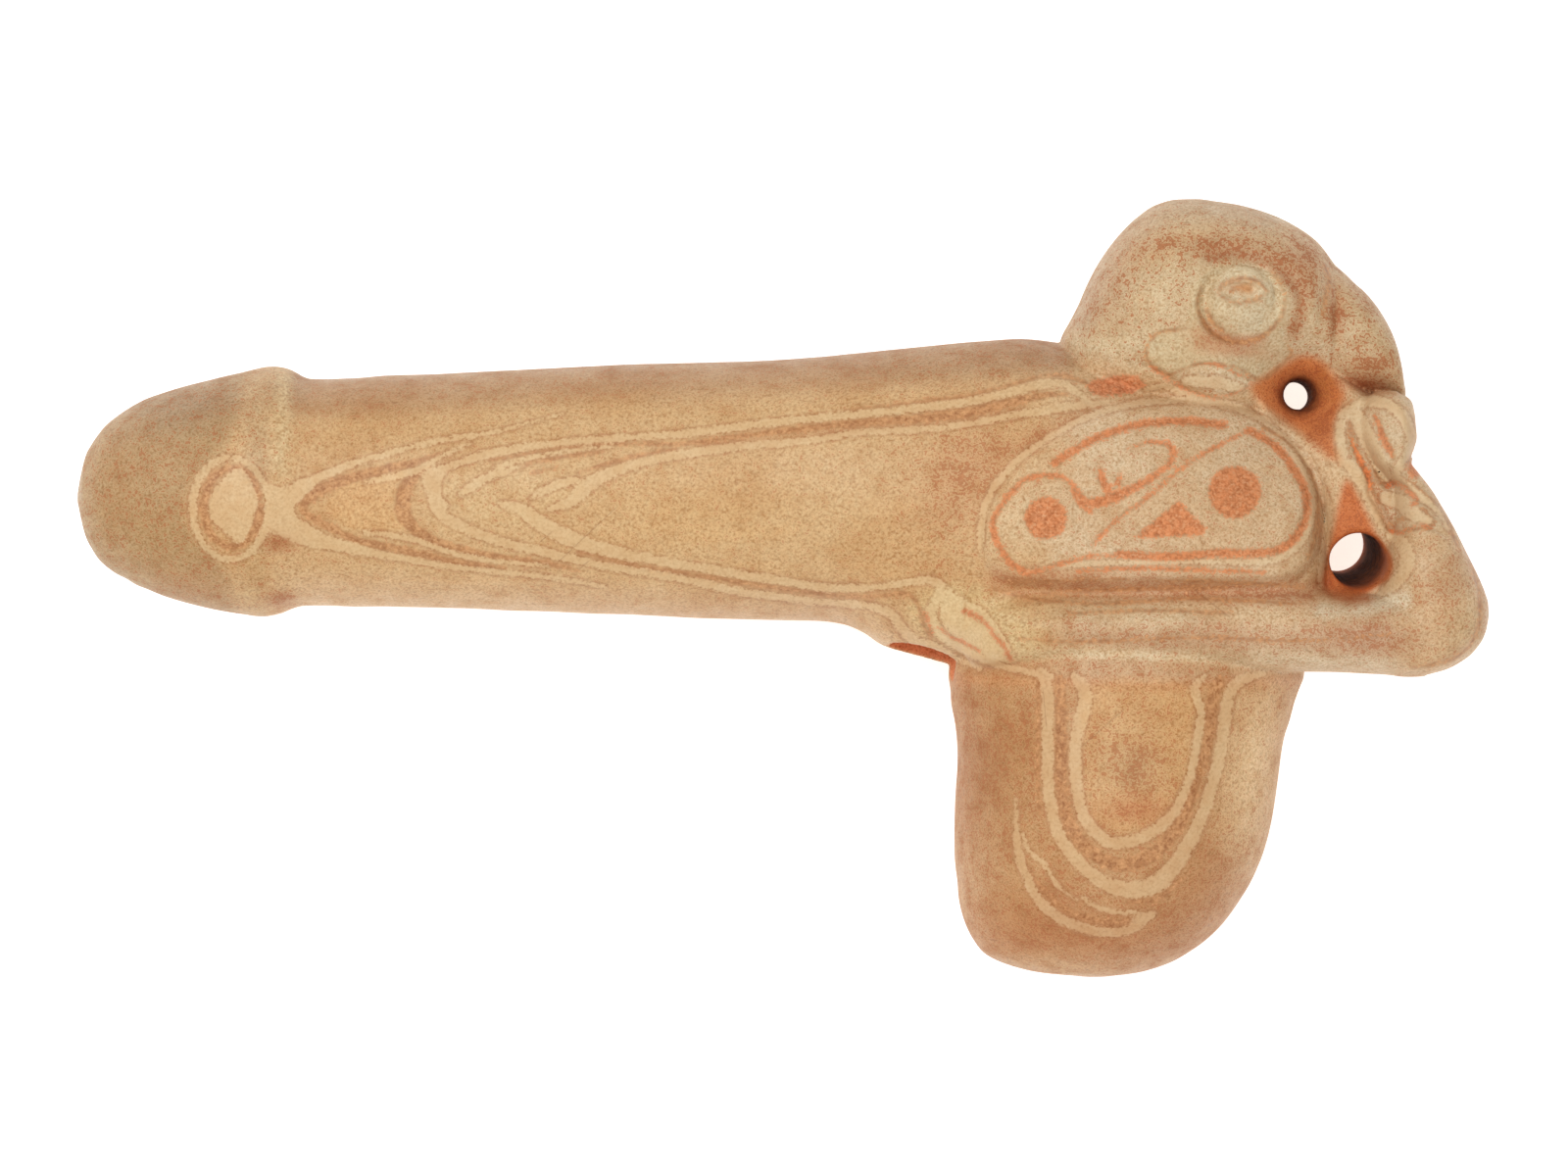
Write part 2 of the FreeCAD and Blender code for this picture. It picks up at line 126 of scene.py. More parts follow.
def smooth_path(pts, closed=False, n=6):
    """Catmull-Rom through the points."""
    p = np.asarray(pts, float)
    if closed:
        q = np.vstack([p[-1], p, p[0], p[1]])
    else:
        q = np.vstack([2 * p[0] - p[1], p, 2 * p[-1] - p[-2]])
    out = []
    for i in range(1, len(q) - 2):
        for t in np.arange(n) / n:
            out.append(0.5 * ((2 * q[i]) + (-q[i - 1] + q[i + 1]) * t
                              + (2 * q[i - 1] - 5 * q[i] + 4 * q[i + 1] - q[i + 2]) * t * t
                              + (-q[i - 1] + 3 * q[i] - 3 * q[i + 1] + q[i + 2]) * t ** 3))
    if not closed:
        out.append(q[-2])
    return np.array(out)


def path_distance(S, pts, closed=False, smooth=True, reach=60.0):
    """Distance from every sheet point to the path (kept exact within reach)."""
    p = smooth_path(pts, closed) if smooth else np.asarray(pts, float)
    if closed:
        p = np.vstack([p, p[:1]])
    out = np.full(S.X.shape, reach, np.float32)
    lo, hi = p.min(0) - reach, p.max(0) + reach
    i0, i1 = max(int((lo[0] - S.x0) / S.step), 0), min(int((hi[0] - S.x0) / S.step) + 2, S.nx)
    j0, j1 = max(int((lo[1] - S.y0) / S.step), 0), min(int((hi[1] - S.y0) / S.step) + 2, S.ny)
    X, Y = S.X[i0:i1, j0:j1], S.Y[i0:i1, j0:j1]
    best = np.full(X.shape, reach * reach)
    for a, b in zip(p[:-1], p[1:]):
        d = b - a
        L = d @ d + 1e-9
        t = np.clip(((X - a[0]) * d[0] + (Y - a[1]) * d[1]) / L, 0, 1)
        best = np.minimum(best, (X - a[0] - t * d[0]) ** 2 + (Y - a[1] - t * d[1]) ** 2)
    out[i0:i1, j0:j1] = np.sqrt(best)
    return out


def region(S, pts, smooth=True, reach=60.0):
    """Signed distance to a closed outline, positive inside."""
    p = smooth_path(pts, True) if smooth else np.asarray(pts, float)
    d = path_distance(S, p, True, False, reach)
    inside = np.zeros(S.X.shape, bool)
    q = np.vstack([p, p[:1]])
    for a, b in zip(q[:-1], q[1:]):
        if a[1] == b[1]:
            continue
        c = (S.Y > min(a[1], b[1])) & (S.Y <= max(a[1], b[1]))
        xi = a[0] + (S.Y - a[1]) * (b[0] - a[0]) / (b[1] - a[1])
        inside ^= c & (S.X < xi)
    return np.where(inside, d, -d)


# ------------------------------------------------------------------ forms
# real-place sheet, for the big forms
R = Sheet(64.0, 1536.0, 188.0, 1012.0, 1.6)
# side-view sheet, for surface detail and marbling (near flank as drawn, far flank mirrored)
P = Sheet(60.0, 1600.0, 150.0, 1050.0, 1.0)


def rows_field(rows, axis="u", p=2.15):
    """Squared half depth (mm2) of a form given by (station, edge, edge, half depth) rows."""
    r = np.asarray(sorted(rows), float)
    s = r[:, 0]
    c, a2, w2 = (r[:, 1] + r[:, 2]) / 2, ((r[:, 2] - r[:, 1]) / 2 * G) ** 2, r[:, 3] ** 2
    S, T = (R.X[:, 0], R.Y[0]) if axis == "u" else (R.Y[0], R.X[:, 0])
    cc = pchip(s, c, np.clip(S, s[0], s[-1]))
    A2, W2 = pchip(s, a2, S), pchip(s, w2, S)
    A2c, W2c = np.maximum(A2, 3.0), np.maximum(W2, 3.0)
    kap = W2c / A2c
    dv = (T[None, :] - cc[:, None]) * G
    q = np.clip(np.abs(dv) / np.sqrt(A2c)[:, None], 0, 1.6)
    h2 = W2[:, None] - kap[:, None] * dv ** 2 * q ** (p - 2)
    return h2 if axis == "u" else h2.T


def slab_field(outline, half, edge, smooth=True):
    """Squared half depth of a slab with an outline, rounded over `edge` mm at its rim."""
    t = np.clip(region(R, outline, smooth) * G / edge, -6, 1)
    return half ** 2 * t * (2 - t)


BODY = [
    (79.4, 509, 509, 0), (80, 501.5, 516.5, 1.1), (82, 491, 525, 2.5), (85, 478, 537, 4.3), (90, 461, 552, 6.6),
    (95, 452.5, 561, 7.9), (100, 445, 569, 9.0), (110, 433, 579, 10.6), (120, 425, 586, 11.7), (130, 418, 591, 12.6),
    (140, 412, 597, 13.4), (150, 407, 601, 14.1), (170, 400, 609, 15.2), (190, 394, 615, 16.1), (210, 389, 620, 16.8),
    (230, 384, 624, 17.4), (250, 379.5, 627, 17.8), (262, 376.5, 628.8, 18.0), (272, 374.4, 629, 18.05),
    (280, 374, 627.6, 18.0), (288, 374.8, 625.4, 17.9), (296, 377, 622, 17.75), (303, 380.5, 619.6, 17.6),
    (310, 384.5, 618.2, 17.45), (318, 386.7, 618, 17.35), (330, 387, 618, 17.25), (360, 386, 619, 17.2),
    (400, 383, 619, 17.25), (440, 382, 620, 17.35), (480, 380, 621, 17.55), (520, 378, 623, 17.8), (560, 376, 624, 18.1),
    (600, 374, 626, 18.4), (640, 372, 627, 18.6), (680, 371, 629, 18.8), (720, 370, 631, 19.0), (760, 369, 632, 19.2),
    (800, 367, 633, 19.4), (840, 364, 634, 19.7), (860, 362, 637, 19.9), (880, 360, 645, 20.2), (900, 358, 658, 20.5),
    (920, 356, 665, 20.8), (940, 354, 671, 21.1), (960, 352, 676, 21.4), (980, 350, 680, 21.7), (1000, 348.5, 682, 22.0),
    (1040, 346, 684, 22.4), (1080, 350, 685, 22.7), (1120, 362, 685, 22.9), (1180, 378, 685, 23.0), (1240, 392, 685, 22.6),
    (1290, 410, 683, 21.2), (1320, 436, 676, 18.6), (1340, 474, 664, 14.5), (1352, 512, 648, 9.8), (1360, 575, 590, 0),
]
POD = [
    (620, 985, 1310, 20.0), (650, 974, 1326, 21.5), (688, 968, 1330, 22.8), (705, 970, 1324, 23.4), (720, 971, 1319, 23.9),
    (735, 974, 1315, 24.3), (750, 976, 1310, 24.7), (765, 977, 1307, 25.0), (780, 977, 1305, 25.2), (810, 975, 1301, 25.4),
    (840, 974, 1296, 25.3), (870, 974, 1288, 24.7), (885, 975, 1282, 24.1), (900, 977, 1275, 23.2), (915, 978, 1266, 22.1),
    (930, 981, 1256, 20.7), (945, 986, 1244, 18.9), (960, 994, 1228, 16.6), (975, 1008, 1206, 13.5), (990, 1051, 1168, 8.4),
    (995.5, 1104, 1128, 2.6), (996.4, 1116, 1116, 0),
]
HEAD = [
    (1079.5, 366, 366, 0), (1084, 342, 384, 6.2), (1090, 331, 396, 8.8), (1100, 312, 408, 11.6), (1110, 289, 416, 13.7),
    (1120, 270, 422, 15.2), (1140, 242, 430, 17.3), (1160, 222, 436, 18.6), (1180, 209, 440, 19.3), (1200, 204, 442, 19.8),
    (1220, 203.5, 442, 20.0), (1240, 206, 440, 20.1), (1260, 209, 438, 20.0), (1280, 214, 434, 19.7), (1300, 221, 430, 19.1),
    (1320, 231, 424, 18.0), (1340, 245, 416, 16.2), (1354, 262, 404, 13.6), (1364, 284, 392, 10.6), (1372, 310, 372, 6.8),
    (1377, 344, 344, 0),
]
FACE = [
    (1322, 300, 392, 0), (1328, 276, 400, 9.0), (1340, 262, 406, 12.0), (1352, 261, 408, 13.4), (1360, 270, 409, 14.0),
    (1370, 279, 410, 14.4), (1380, 289, 411, 14.6), (1390, 298, 411, 14.4), (1400, 310, 412, 13.9), (1410, 326, 412, 13.0),
    (1418, 344, 412, 11.9), (1423, 364, 412, 10.6), (1426, 381, 412, 9.0), (1429, 393, 411.5, 6.6), (1432, 403, 403, 0),
]
WEB = [(1262, 404), (1296, 380), (1336, 366), (1384, 392), (1400, 412), (1404, 470), (1430, 500), (1434, 610),
       (1344, 616), (1330, 520), (1300, 460), (1270, 430)]
UPPER_ARM = [
    (978, 655, 655, 0), (984, 640, 670, 3.6), (992, 630, 677, 5.6), (1004, 620, 681, 7.6), (1022, 612, 683, 9.3),
    (1050, 607, 684, 10.6), (1100, 604, 684.5, 11.5), (1200, 603, 685, 12.0), (1300, 603, 684.5, 12.0),
    (1350, 604, 684.5, 12.0), (1395, 604, 686.5, 11.9), (1430, 600, 688.5, 11.6), (1460, 596, 683.5, 10.9), (1485, 600, 671, 9.2),
    (1499, 612, 656, 6.4), (1506, 634, 634, 0),
]
FOREARM = [
    (468, 1418, 1418, 0), (480, 1412, 1427, 4.6), (494, 1411, 1443.5, 7.2), (508, 1409, 1453.5, 8.0), (520, 1409, 1462, 8.8),
    (532, 1410, 1469, 9.4), (544, 1408, 1475.5, 10.0), (556, 1403, 1481.5, 10.5), (568, 1399, 1487.5, 10.9), (580, 1396, 1493.5, 11.2),
    (592, 1394, 1499, 11.5), (604, 1393, 1504, 11.7), (616, 1393, 1507.5, 11.8), (628, 1394, 1508, 11.9), (640, 1397, 1504.5, 11.8),
    (652, 1400, 1499, 11.5), (664, 1403, 1490, 10.9), (676, 1404, 1475, 9.7), (683, 1408, 1460, 7.6),
    (687.5, 1420, 1444, 4.4), (689.3, 1432, 1432, 0),
]
HAND = [
    (401.5, 1406, 1406, 0), (403, 1396, 1415, 3.0), (407, 1388, 1425, 5.0), (412, 1382, 1430.5, 6.2), (420, 1377, 1433, 7.2),
    (432, 1375, 1434.5, 8.0), (448, 1377, 1435.5, 8.4), (460, 1382, 1432.5, 8.5), (472, 1389, 1428.5, 8.4),
    (484, 1399, 1436.5, 8.3), (496, 1409, 1446, 8.2), (508, 1417, 1454.5, 8.2), (520, 1423, 1461, 8.4), (532, 1427, 1466, 7.0),
    (540, 1438, 1461, 4.0), (546, 1450, 1450, 0),
]
h_body, h_pod = rows_field(BODY), rows_field(POD, "v", 2.2)
h_head, h_face = rows_field(HEAD, p=2.35), rows_field(FACE, p=2.3)
h_web = slab_field(WEB, 15.0, 4.0)
l_arm, l_fore, l_hand = rows_field(UPPER_ARM, p=2.2), rows_field(FOREARM, "v", 2.2), rows_field(HAND, "v", 2.3)

CORE = ["body", "pod", "head", "face", "web"]
core_fields = [h_body, h_pod, h_head, h_face, h_web]
h_core = smax(smax(smax(smax(h_body, h_pod, 18.0), h_web, 10.0), h_head, 14.0), h_face, 12.0)
LIMB = ["arm", "fore", "hand"]
limb_fields = [l_arm, l_fore, l_hand]
l_limb = smax(smax(l_arm, l_fore, 16.0), l_hand, 6.0)
W_CORE = np.sqrt(np.clip(h_core, 36.0, None))            # scale that turns squares into lengths
W_LIMB = np.sqrt(np.clip(l_limb, 25.0, None))
LIMB_W0 = 11.2
K_LIMB = 1.0 + (8.0 + 5.0 * ramp(1120 - R.X, 0, 90)) * (ramp(668 - R.Y, 0, 36) * ramp(R.X - 930, 0, 40) * ramp(1392 - R.X, 0, 40)
                                                     * ramp(R.Y - 540, 0, 30))

# ------------------------------------------------------------------ surface relief, side view
relief = np.zeros(P.X.shape, np.float32)                 # mm, + stands proud


def groove(pts, width, depth, closed=False):
    global relief
    d = path_distance(P, pts, closed, reach=width * 2 + 4)
    relief = relief - depth * np.exp(-(d / (width * 0.5)) ** 2).astype(np.float32)


PLATE = [(1003, 560), (1008, 524), (1033, 482), (1073, 447), (1120, 421), (1178, 405), (1240, 405), (1290, 420),
         (1325, 450), (1346, 487), (1351, 530), (1343, 570), (1318, 592), (1262, 597), (1200, 597), (1100, 601),
         (1038, 597), (1010, 582)]
d_plate = region(P, PLATE)
relief += 1.75 * ramp(d_plate, -5, 11).astype(np.float32)
CHEEK = [(1169, 363), (1173, 349), (1184, 338), (1203, 335), (1210, 329), (1214, 317), (1216, 295), (1225, 282),
         (1241, 274), (1267, 270), (1289, 275), (1305, 287), (1313, 304), (1312, 324), (1308, 345), (1318, 355),
         (1316, 368), (1302, 381), (1280, 390), (1260, 382), (1238, 373), (1219, 375), (1198, 384), (1178, 372)]
CHIN = [(1198, 383), (1218, 374), (1238, 373), (1260, 383), (1279, 391), (1270, 398), (1256, 402), (1238, 403),
        (1220, 397), (1206, 390)]
d_cheek = region(P, CHEEK)
d_chin = region(P, CHIN)
relief += 0.6 * ramp(d_cheek, -1.5, 3.5).astype(np.float32)
relief += 0.4 * ramp(d_chin, -1.5, 3.5).astype(np.float32)
EYE = (1266.5, 309.0)
r_eye = np.hypot(P.X - EYE[0], P.Y - EYE[1])
relief -= 1.5 * ramp(49 - r_eye, 0, 12).astype(np.float32)
# the pellet's own thumbed pupil
q_pupil = np.hypot((P.X - 1266 + 0.12 * (P.Y - 297)) / 25.0, (P.Y - 297) / 11.0)
pellet_relief = (0.40 * np.exp(-((q_pupil - 1.0) / 0.24) ** 2) - 0.60 * ramp(1.0 - q_pupil, 0, 0.55)).astype(np.float32)
pellet_relief += (0.16 * np.sin(P.X * 0.21 + 1.1) * np.sin(P.Y * 0.17 + 0.4)).astype(np.float32)
CHANNEL = [(1076, 472), (1115, 449), (1149, 436), (1187, 430), (1218, 430), (1249, 434)]
CHANNEL_R = [(1275, 439), (1302, 456), (1321, 480), (1333, 506), (1331, 533), (1314, 556), (1287, 564), (1241, 565),
             (1195, 568), (1141, 566)]
CHANNEL_L = [(1042, 491), (1023, 514), (1013, 533), (1019, 556), (1032, 575), (1046, 583)]
ARC_L = [(1042, 491), (1061, 485), (1084, 487), (1099, 499), (1107, 514), (1113, 522)]
DIAGONAL = [(1271, 441), (1233, 460), (1199, 483), (1168, 510), (1137, 533), (1115, 556)]
TRIANGLE = [(1157, 548), (1203, 510), (1214, 522), (1231, 539), (1227, 546), (1164, 550)]
DISC_R, DISC_L = (1260.0, 502.0, 27.0), (1067.0, 529.0, 22.0)
red = np.full(P.X.shape, -60.0, np.float32)              # signed distance, + inside the red recesses
for pts, wd in ((CHANNEL, 9), (CHANNEL_R, 9), (CHANNEL_L, 7), (ARC_L, 6), (DIAGONAL, 4.5)):
    red = np.maximum(red, wd / 2 - path_distance(P, pts))
for cx, cy, r in (DISC_R, DISC_L):
    red = np.maximum(red, r - np.hypot(P.X - cx, P.Y - cy))
red = np.maximum(red, region(P, TRIANGLE, False))
for rows in ([(1150, 458, 2), (1172, 451, 4), (1191, 452, 6), (1199, 462, 7), (1192, 475, 7), (1175, 488, 8), (1155, 499, 10), (1135, 508, 13),
              (1118, 513, 11), (1107, 512, 6)],
             [(1122, 476, 4), (1124, 487, 9), (1130, 499, 10)], [(1143, 482, 3), (1141, 493, 8)],
             [(1096, 500, 6), (1102, 512, 10), (1110, 520, 6)]):
    xy = np.array(rows, float)
    for a_, b_ in zip(xy[:-1], xy[1:]):
        for t_ in np.linspace(0, 1, 7):
            c_ = a_ + (b_ - a_) * t_
            red = np.maximum(red, c_[2] / 2 - np.hypot(P.X - c_[0], P.Y - c_[1]))
relief -= 0.34 * ramp(red, -2.5, 4.0).astype(np.float32)
# turned rim of the plate, neck crease, brow, face crease
groove([(1279, 425), (1300, 433), (1322, 447), (1338, 468), (1347, 492), (1350, 520), (1349, 548), (1340, 574), (1326, 592)], 4, 0.45)
groove([(1290, 434), (1312, 448), (1328, 468), (1339, 492), (1342, 520), (1341, 545), (1333, 566)], 4, 0.22)
groove([(1168, 371), (1178, 378), (1190, 385), (1203, 393), (1216, 400), (1241, 408), (1273, 413), (1292, 422), (1312, 436)], 5, 0.5)
groove([(1110, 411), (1140, 408), (1165, 403), (1190, 397), (1206, 396)], 5, 0.35)
groove([(1234, 262), (1252, 257), (1273, 260), (1296, 269), (1315, 281), (1326, 299), (1327, 321), (1319, 346)], 17, 0.75)
groove([(1357, 271), (1354, 290), (1350, 308), (1348, 326), (1350, 346), (1357, 362)], 13, 0.55)
groove([(1232, 330), (1241, 341), (1256, 347), (1272, 348), (1284, 343)], 7, 0.55)
# hand: two rolls of clay with a furrow between, a thumb strip, wrist creases
groove([(1398, 411), (1416, 414), (1431, 425), (1438, 441), (1436, 458), (1428, 472), (1420, 484)], 15, -0.55)
groove([(1379, 421), (1387, 438), (1396, 455), (1405, 473)], 17, -0.4)
groove([(1404, 425), (1408, 440), (1414, 454), (1420, 467)], 9, 0.75)
groove([(1377, 429), (1380, 447), (1386, 465), (1396, 483), (1399, 503), (1409, 520), (1418, 538)], 8, 0.8)
groove([(1369, 432), (1367, 445), (1370, 460)], 9, -0.35)
groove([(1413, 496), (1425, 492), (1436, 500), (1446, 510), (1456, 514)], 5, 0.55)
groove([(1434, 486), (1441, 492), (1450, 497)], 5, 0.4)
groove([(1418, 541), (1429, 543), (1445, 536), (1462, 538), (1474, 546)], 5, 0.5)
groove([(1421, 525), (1438, 519), (1452, 523), (1462, 534)], 8, -0.3)
# long shallow hollow under the plate and a line just inside the elbow's edge
groove([(1070, 594), (1130, 596), (1200, 598), (1290, 600), (1340, 605)], 22, 0.10)
groove([(1478, 522), (1492, 552), (1504, 584), (1510, 612), (1509, 636), (1500, 658), (1478, 674), (1452, 679)], 4, 0.16)
# slight hand-made unevenness everywhere
for fx, fy, ph, am in ((0.021, 0.034, 0.3, 0.07), (0.047, 0.029, 2.1, 0.05), (0.013, 0.062, 4.0, 0.05), (0.083, 0.071, 1.2, 0.022),
                       (0.142, 0.117, 5.2, 0.014)):
    relief += (am * np.sin(fx * P.X + ph + 0.8 * np.sin(fy * 0.7 * P.Y)) * np.sin(fy * P.Y + 1.7 * ph)).astype(np.float32)


def evaluate(u, v, w):
    """Signed distance-like field of the whole body (mm, negative inside) and which form is nearest."""
    x, y, aw = u / G + CX, CY - v / G, np.abs(w)
    hc, wc = R.at(h_core, x, y), R.at(W_CORE, x, y)
    hl, wl = R.at(l_limb, x, y), R.at(W_LIMB, x, y)
    core = (aw ** 2 - hc) / (2 * wc)
    off = aw - LIMB_W0
    limb = (np.where(off < 0, off * 1.02, off) ** 2 - hl) / (2 * wl)
    f = smin(core, limb, R.at(K_LIMB, x, y))
    # detail is laid on the flanks as seen from the side
    k = VIEW_D / (VIEW_D - aw)
    px, py = CX + (x - CX) * k, CY + (y - CY) * k
    rel = P.at(relief, px, py) * ramp(aw, 4.0, 9.0)
    f = f - rel
    return f, core, limb, px, py


EYE_R, EYE_H = 5.45, 3.7
eye_u, eye_v = U(CX + (EYE[0] - CX) * (VIEW_D - 19) / VIEW_D), Vv(CY + (EYE[1] - CY) * (VIEW_D - 19) / VIEW_D)
EYE_W = 17.5
GAP_N, GAP_F = np.array([U(1377), Vv(576), 18.0]), np.array([U(1372.5), Vv(551), -18.0])
GAP_DIR = (GAP_N - GAP_F) / np.linalg.norm(GAP_N - GAP_F)
CORD = (U(1322.0), Vv(404.0))
BLOW = (U(80.0), Vv(534.0))
slope, lean = math.radians(-18.4), math.radians(21)
WIN_C = np.array([U(942.0), Vv(667.0), 3.2])
WIN_A = np.array([math.cos(slope), math.sin(slope), 0])
WIN_D = np.array([math.sin(slope) * math.cos(lean), -math.cos(slope) * math.cos(lean), math.sin(lean)])
WIN_B = np.cross(WIN_D, WIN_A)


def carve(f, u, v, w):
    """Eye pellets, then the holes and pits that are cut through."""
    aw = np.abs(w)
    k = VIEW_D / (VIEW_D - aw)
    ex, ey = CX + u / G * k, CY - v / G * k
    ball = (np.sqrt(((u - eye_u) / EYE_R) ** 2 + ((v - eye_v) / EYE_R) ** 2 + ((aw - EYE_W) / EYE_H) ** 2) - 1) * 3.7
    ball = ball - P.at(pellet_relief, ex, ey)
    f = smin(f, ball, 0.35)
    # slanted gap in the bend of the arms, softened rim
    p = np.stack([u - GAP_F[0], v - GAP_F[1], w - GAP_F[2]], -1)
    t = p @ GAP_DIR
    rad = np.sqrt(np.maximum((p ** 2).sum(-1) - t * t, 0))
    f = smax(f, 4.05 - rad, 1.8)
    # suspension hole: straight throat, then a funnel that opens towards each flank
    rc = np.hypot(u - CORD[0], v - CORD[1])
    cone = 2.12 + 6.2 * (np.maximum(aw - 3.0, 0) / 12.0) ** 2
    f = smax(f, (cone - rc) * 0.8, 2.0)
    # blow hole in the nose
    rb = np.hypot(v - BLOW[1], w)
    f = smax(f, np.minimum(2.1 - rb, (U(139) - u)), 1.5)
    # oval window pit under the body
    q = np.stack([u - WIN_C[0], v - WIN_C[1], w - WIN_C[2]], -1)
    qa, qb, qd = q @ WIN_A, q @ WIN_B, q @ WIN_D
    oval = (1 - np.sqrt((qa / 5.3) ** 2 + (qb / 5.0) ** 2)) * 4.8
    f = smax(f, np.minimum(oval, qd + 5.2), 0.5)
    return f, ball, rad, rc, rb, np.minimum(oval, qd + 5.2)


def whole(u, v, w):
    f, core, limb, px, py = evaluate(u, v, w)
    return carve(f, u, v, w)[0]


# ------------------------------------------------------------------ surface
gu_ = np.arange(-106.5, 106.5, H)
gv_ = np.arange(-59.5, 59.5, H)
half_n = int(27.0 / H)
gw_ = (np.arange(-half_n, half_n) + 0.5) * H
UU, VV = np.meshgrid(gu_, gv_, indexing="ij")
vol = np.empty((len(gu_), len(gv_), len(gw_)), np.float32)
for k, wv in enumerate(gw_):
    vol[:, :, k] = np.clip(whole(UU, VV, np.full(UU.shape, wv)), -2.0, 2.0)
grid = vdb.FloatGrid(background=2.0)
grid.copyFromArray(vol)
pts, quads = grid.convertToQuads(isovalue=0.0)
quads = quads.astype(np.int64)
pts = pts.astype(float)
pts = np.stack([gu_[0] + pts[:, 0] * H, gv_[0] + pts[:, 1] * H, gw_[0] + pts[:, 2] * H], 1)
del vol, grid


def gradient(p, e=0.12):
    g = np.empty_like(p)
    for a in range(3):
        q1, q0 = p.copy(), p.copy()
        q1[:, a] += e
        q0[:, a] -= e
        g[:, a] = (whole(*q1.T) - whole(*q0.T)) / (2 * e)
    return g


seam = np.abs(pts[:, 2]) < 0.3 * H
for _ in range(3):
    g = gradient(pts)
    f = whole(*pts.T)
    step = (f / np.maximum((g ** 2).sum(1), 0.05))[:, None] * g
    n = np.linalg.norm(step, axis=1, keepdims=True)
    pts -= step * np.minimum(1, 0.3 * H / np.maximum(n, 1e-9))
pts[seam, 2] = 0.0

# quads wind outwards
a = pts[quads[:, 2]] - pts[quads[:, 0]]
b = pts[quads[:, 3]] - pts[quads[:, 1]]
fn = np.cross(a, b)
fc = pts[quads].mean(1)
g = gradient(fc)
if (fn * g).sum() < 0:
    quads = quads[:, ::-1]
    fn = -fn
# keep the outer body only (drop specks)
N = len(pts)
edges = np.vstack([quads[:, [0, 1]], quads[:, [1, 2]], quads[:, [2, 3]], quads[:, [3, 0]]])


def components(n, e):
    lab = np.arange(n)
    while True:
        m = np.minimum(lab[e[:, 0]], lab[e[:, 1]])
        new = lab.copy()
        np.minimum.at(new, e[:, 0], m)
        np.minimum.at(new, e[:, 1], m)
        new = new[new]
        new = new[new]
        if (new == lab).all():
            return lab
        lab = new


comp = components(N, edges)
main = np.bincount(comp).argmax()
quads = quads[comp[quads[:, 0]] == main]
edges = np.vstack([quads[:, [0, 1]], quads[:, [1, 2]], quads[:, [2, 3]], quads[:, [3, 0]]])
normal = np.zeros((N, 3))
a = pts[quads[:, 2]] - pts[quads[:, 0]]
b = pts[quads[:, 3]] - pts[quads[:, 1]]
fn = np.cross(a, b)
for c in range(4):
    np.add.at(normal, quads[:, c], fn)
normal /= np.maximum(np.linalg.norm(normal, axis=1, keepdims=True), 1e-12)
print("surface", len(pts), "points", len(quads), "quads")

# ------------------------------------------------------------------ which clay piece each point belongs to
f, core, limb, px, py = evaluate(*pts.T)
x, y, aw = pts[:, 0] / G + CX, CY - pts[:, 1] / G, np.abs(pts[:, 2])
_, ball, gap_r, cord_r, blow_r, win = carve(f, *pts.T)
NAMES = ["nose_cap", "barrel_shell", "torso_shell", "pod_shell", "head_shell", "face_block", "neck_web", "upper_arm",
         "forearm", "hand", "wrist_band", "eye_pellet", "cheek_plate", "shoulder_plate"]
core_i = np.argmax(np.stack([R.at(h, x, y) for h in core_fields]), 0)
limb_i = np.argmax(np.stack([R.at(h, x, y) for h in limb_fields]), 0)
label = np.array([2, 3, 4, 5, 6])[core_i]
label = np.where(label == 2, np.where(x < 306, 0, np.where(x < 905, 1, 2)), label)
is_limb = limb < core
label = np.where(is_limb, np.array([7, 8, 9])[limb_i], label)
wrist = is_limb & (py > 503) & (py < 545) & (px > 1412) & (label >= 8)
label = np.where(wrist, 10, label)
label = np.where(is_limb & (label == 9) & (py >= 545), 8, label)
label = np.where((P.at(d_plate, px, py) > 0) & (aw > 9) & np.isin(label, [2, 4, 6]), 13, label)
label = np.where((P.at(d_cheek, px, py) > 0) & (aw > 8) & np.isin(label, [4, 5, 6, 13]) & (np.hypot(px - EYE[0], py - EYE[1]) > 44), 12, label)
label = np.where(ball < 0.12, 11, label)
label = np.where((cord_r < 3.6) & (aw < 16) & (label != 11), 6, label)

sel = np.unique(quads)
used = np.zeros(N, bool)
used[sel] = True
for _ in range(6):
    votes = np.zeros((N, len(NAMES)), np.float32)
    np.add.at(votes, (edges[:, 0], label[edges[:, 1]]), 1)
    np.add.at(votes, (edges[:, 1], label[edges[:, 0]]), 1)
    votes[np.arange(N), label] += 2.2
    label = votes.argmax(1)
side = pts[quads][:, :, 2].mean(1) > 0
for _ in range(3):                                       # small islands join their surroundings
    same = label[edges[:, 0]] == label[edges[:, 1]]
    comp = components(N, edges[same])
    size = np.bincount(comp, minlength=N)
    small = size[comp] < 140
    if not (small & used).any():
        break
    for _k in range(12):
        votes = np.zeros((N, len(NAMES)), np.float32)
        ok = ~small[edges[:, 1]]
        np.add.at(votes, (edges[ok, 0], label[edges[ok, 1]]), 1)
        ok = ~small[edges[:, 0]]
        np.add.at(votes, (edges[ok, 1], label[edges[ok, 0]]), 1)
        can = small & (votes.sum(1) > 0)
        label = np.where(can, votes.argmax(1), label)
        small = small & ~can
face_label = np.sort(label[quads], axis=1)[:, 1]

# ------------------------------------------------------------------ marbling: layered clays laid bare by burnishing
def srgb(r, g, b):
    c = np.array([r, g, b]) / 255.0
    return np.where(c <= 0.04045, c / 12.92, ((c + 0.055) / 1.055) ** 2.4)


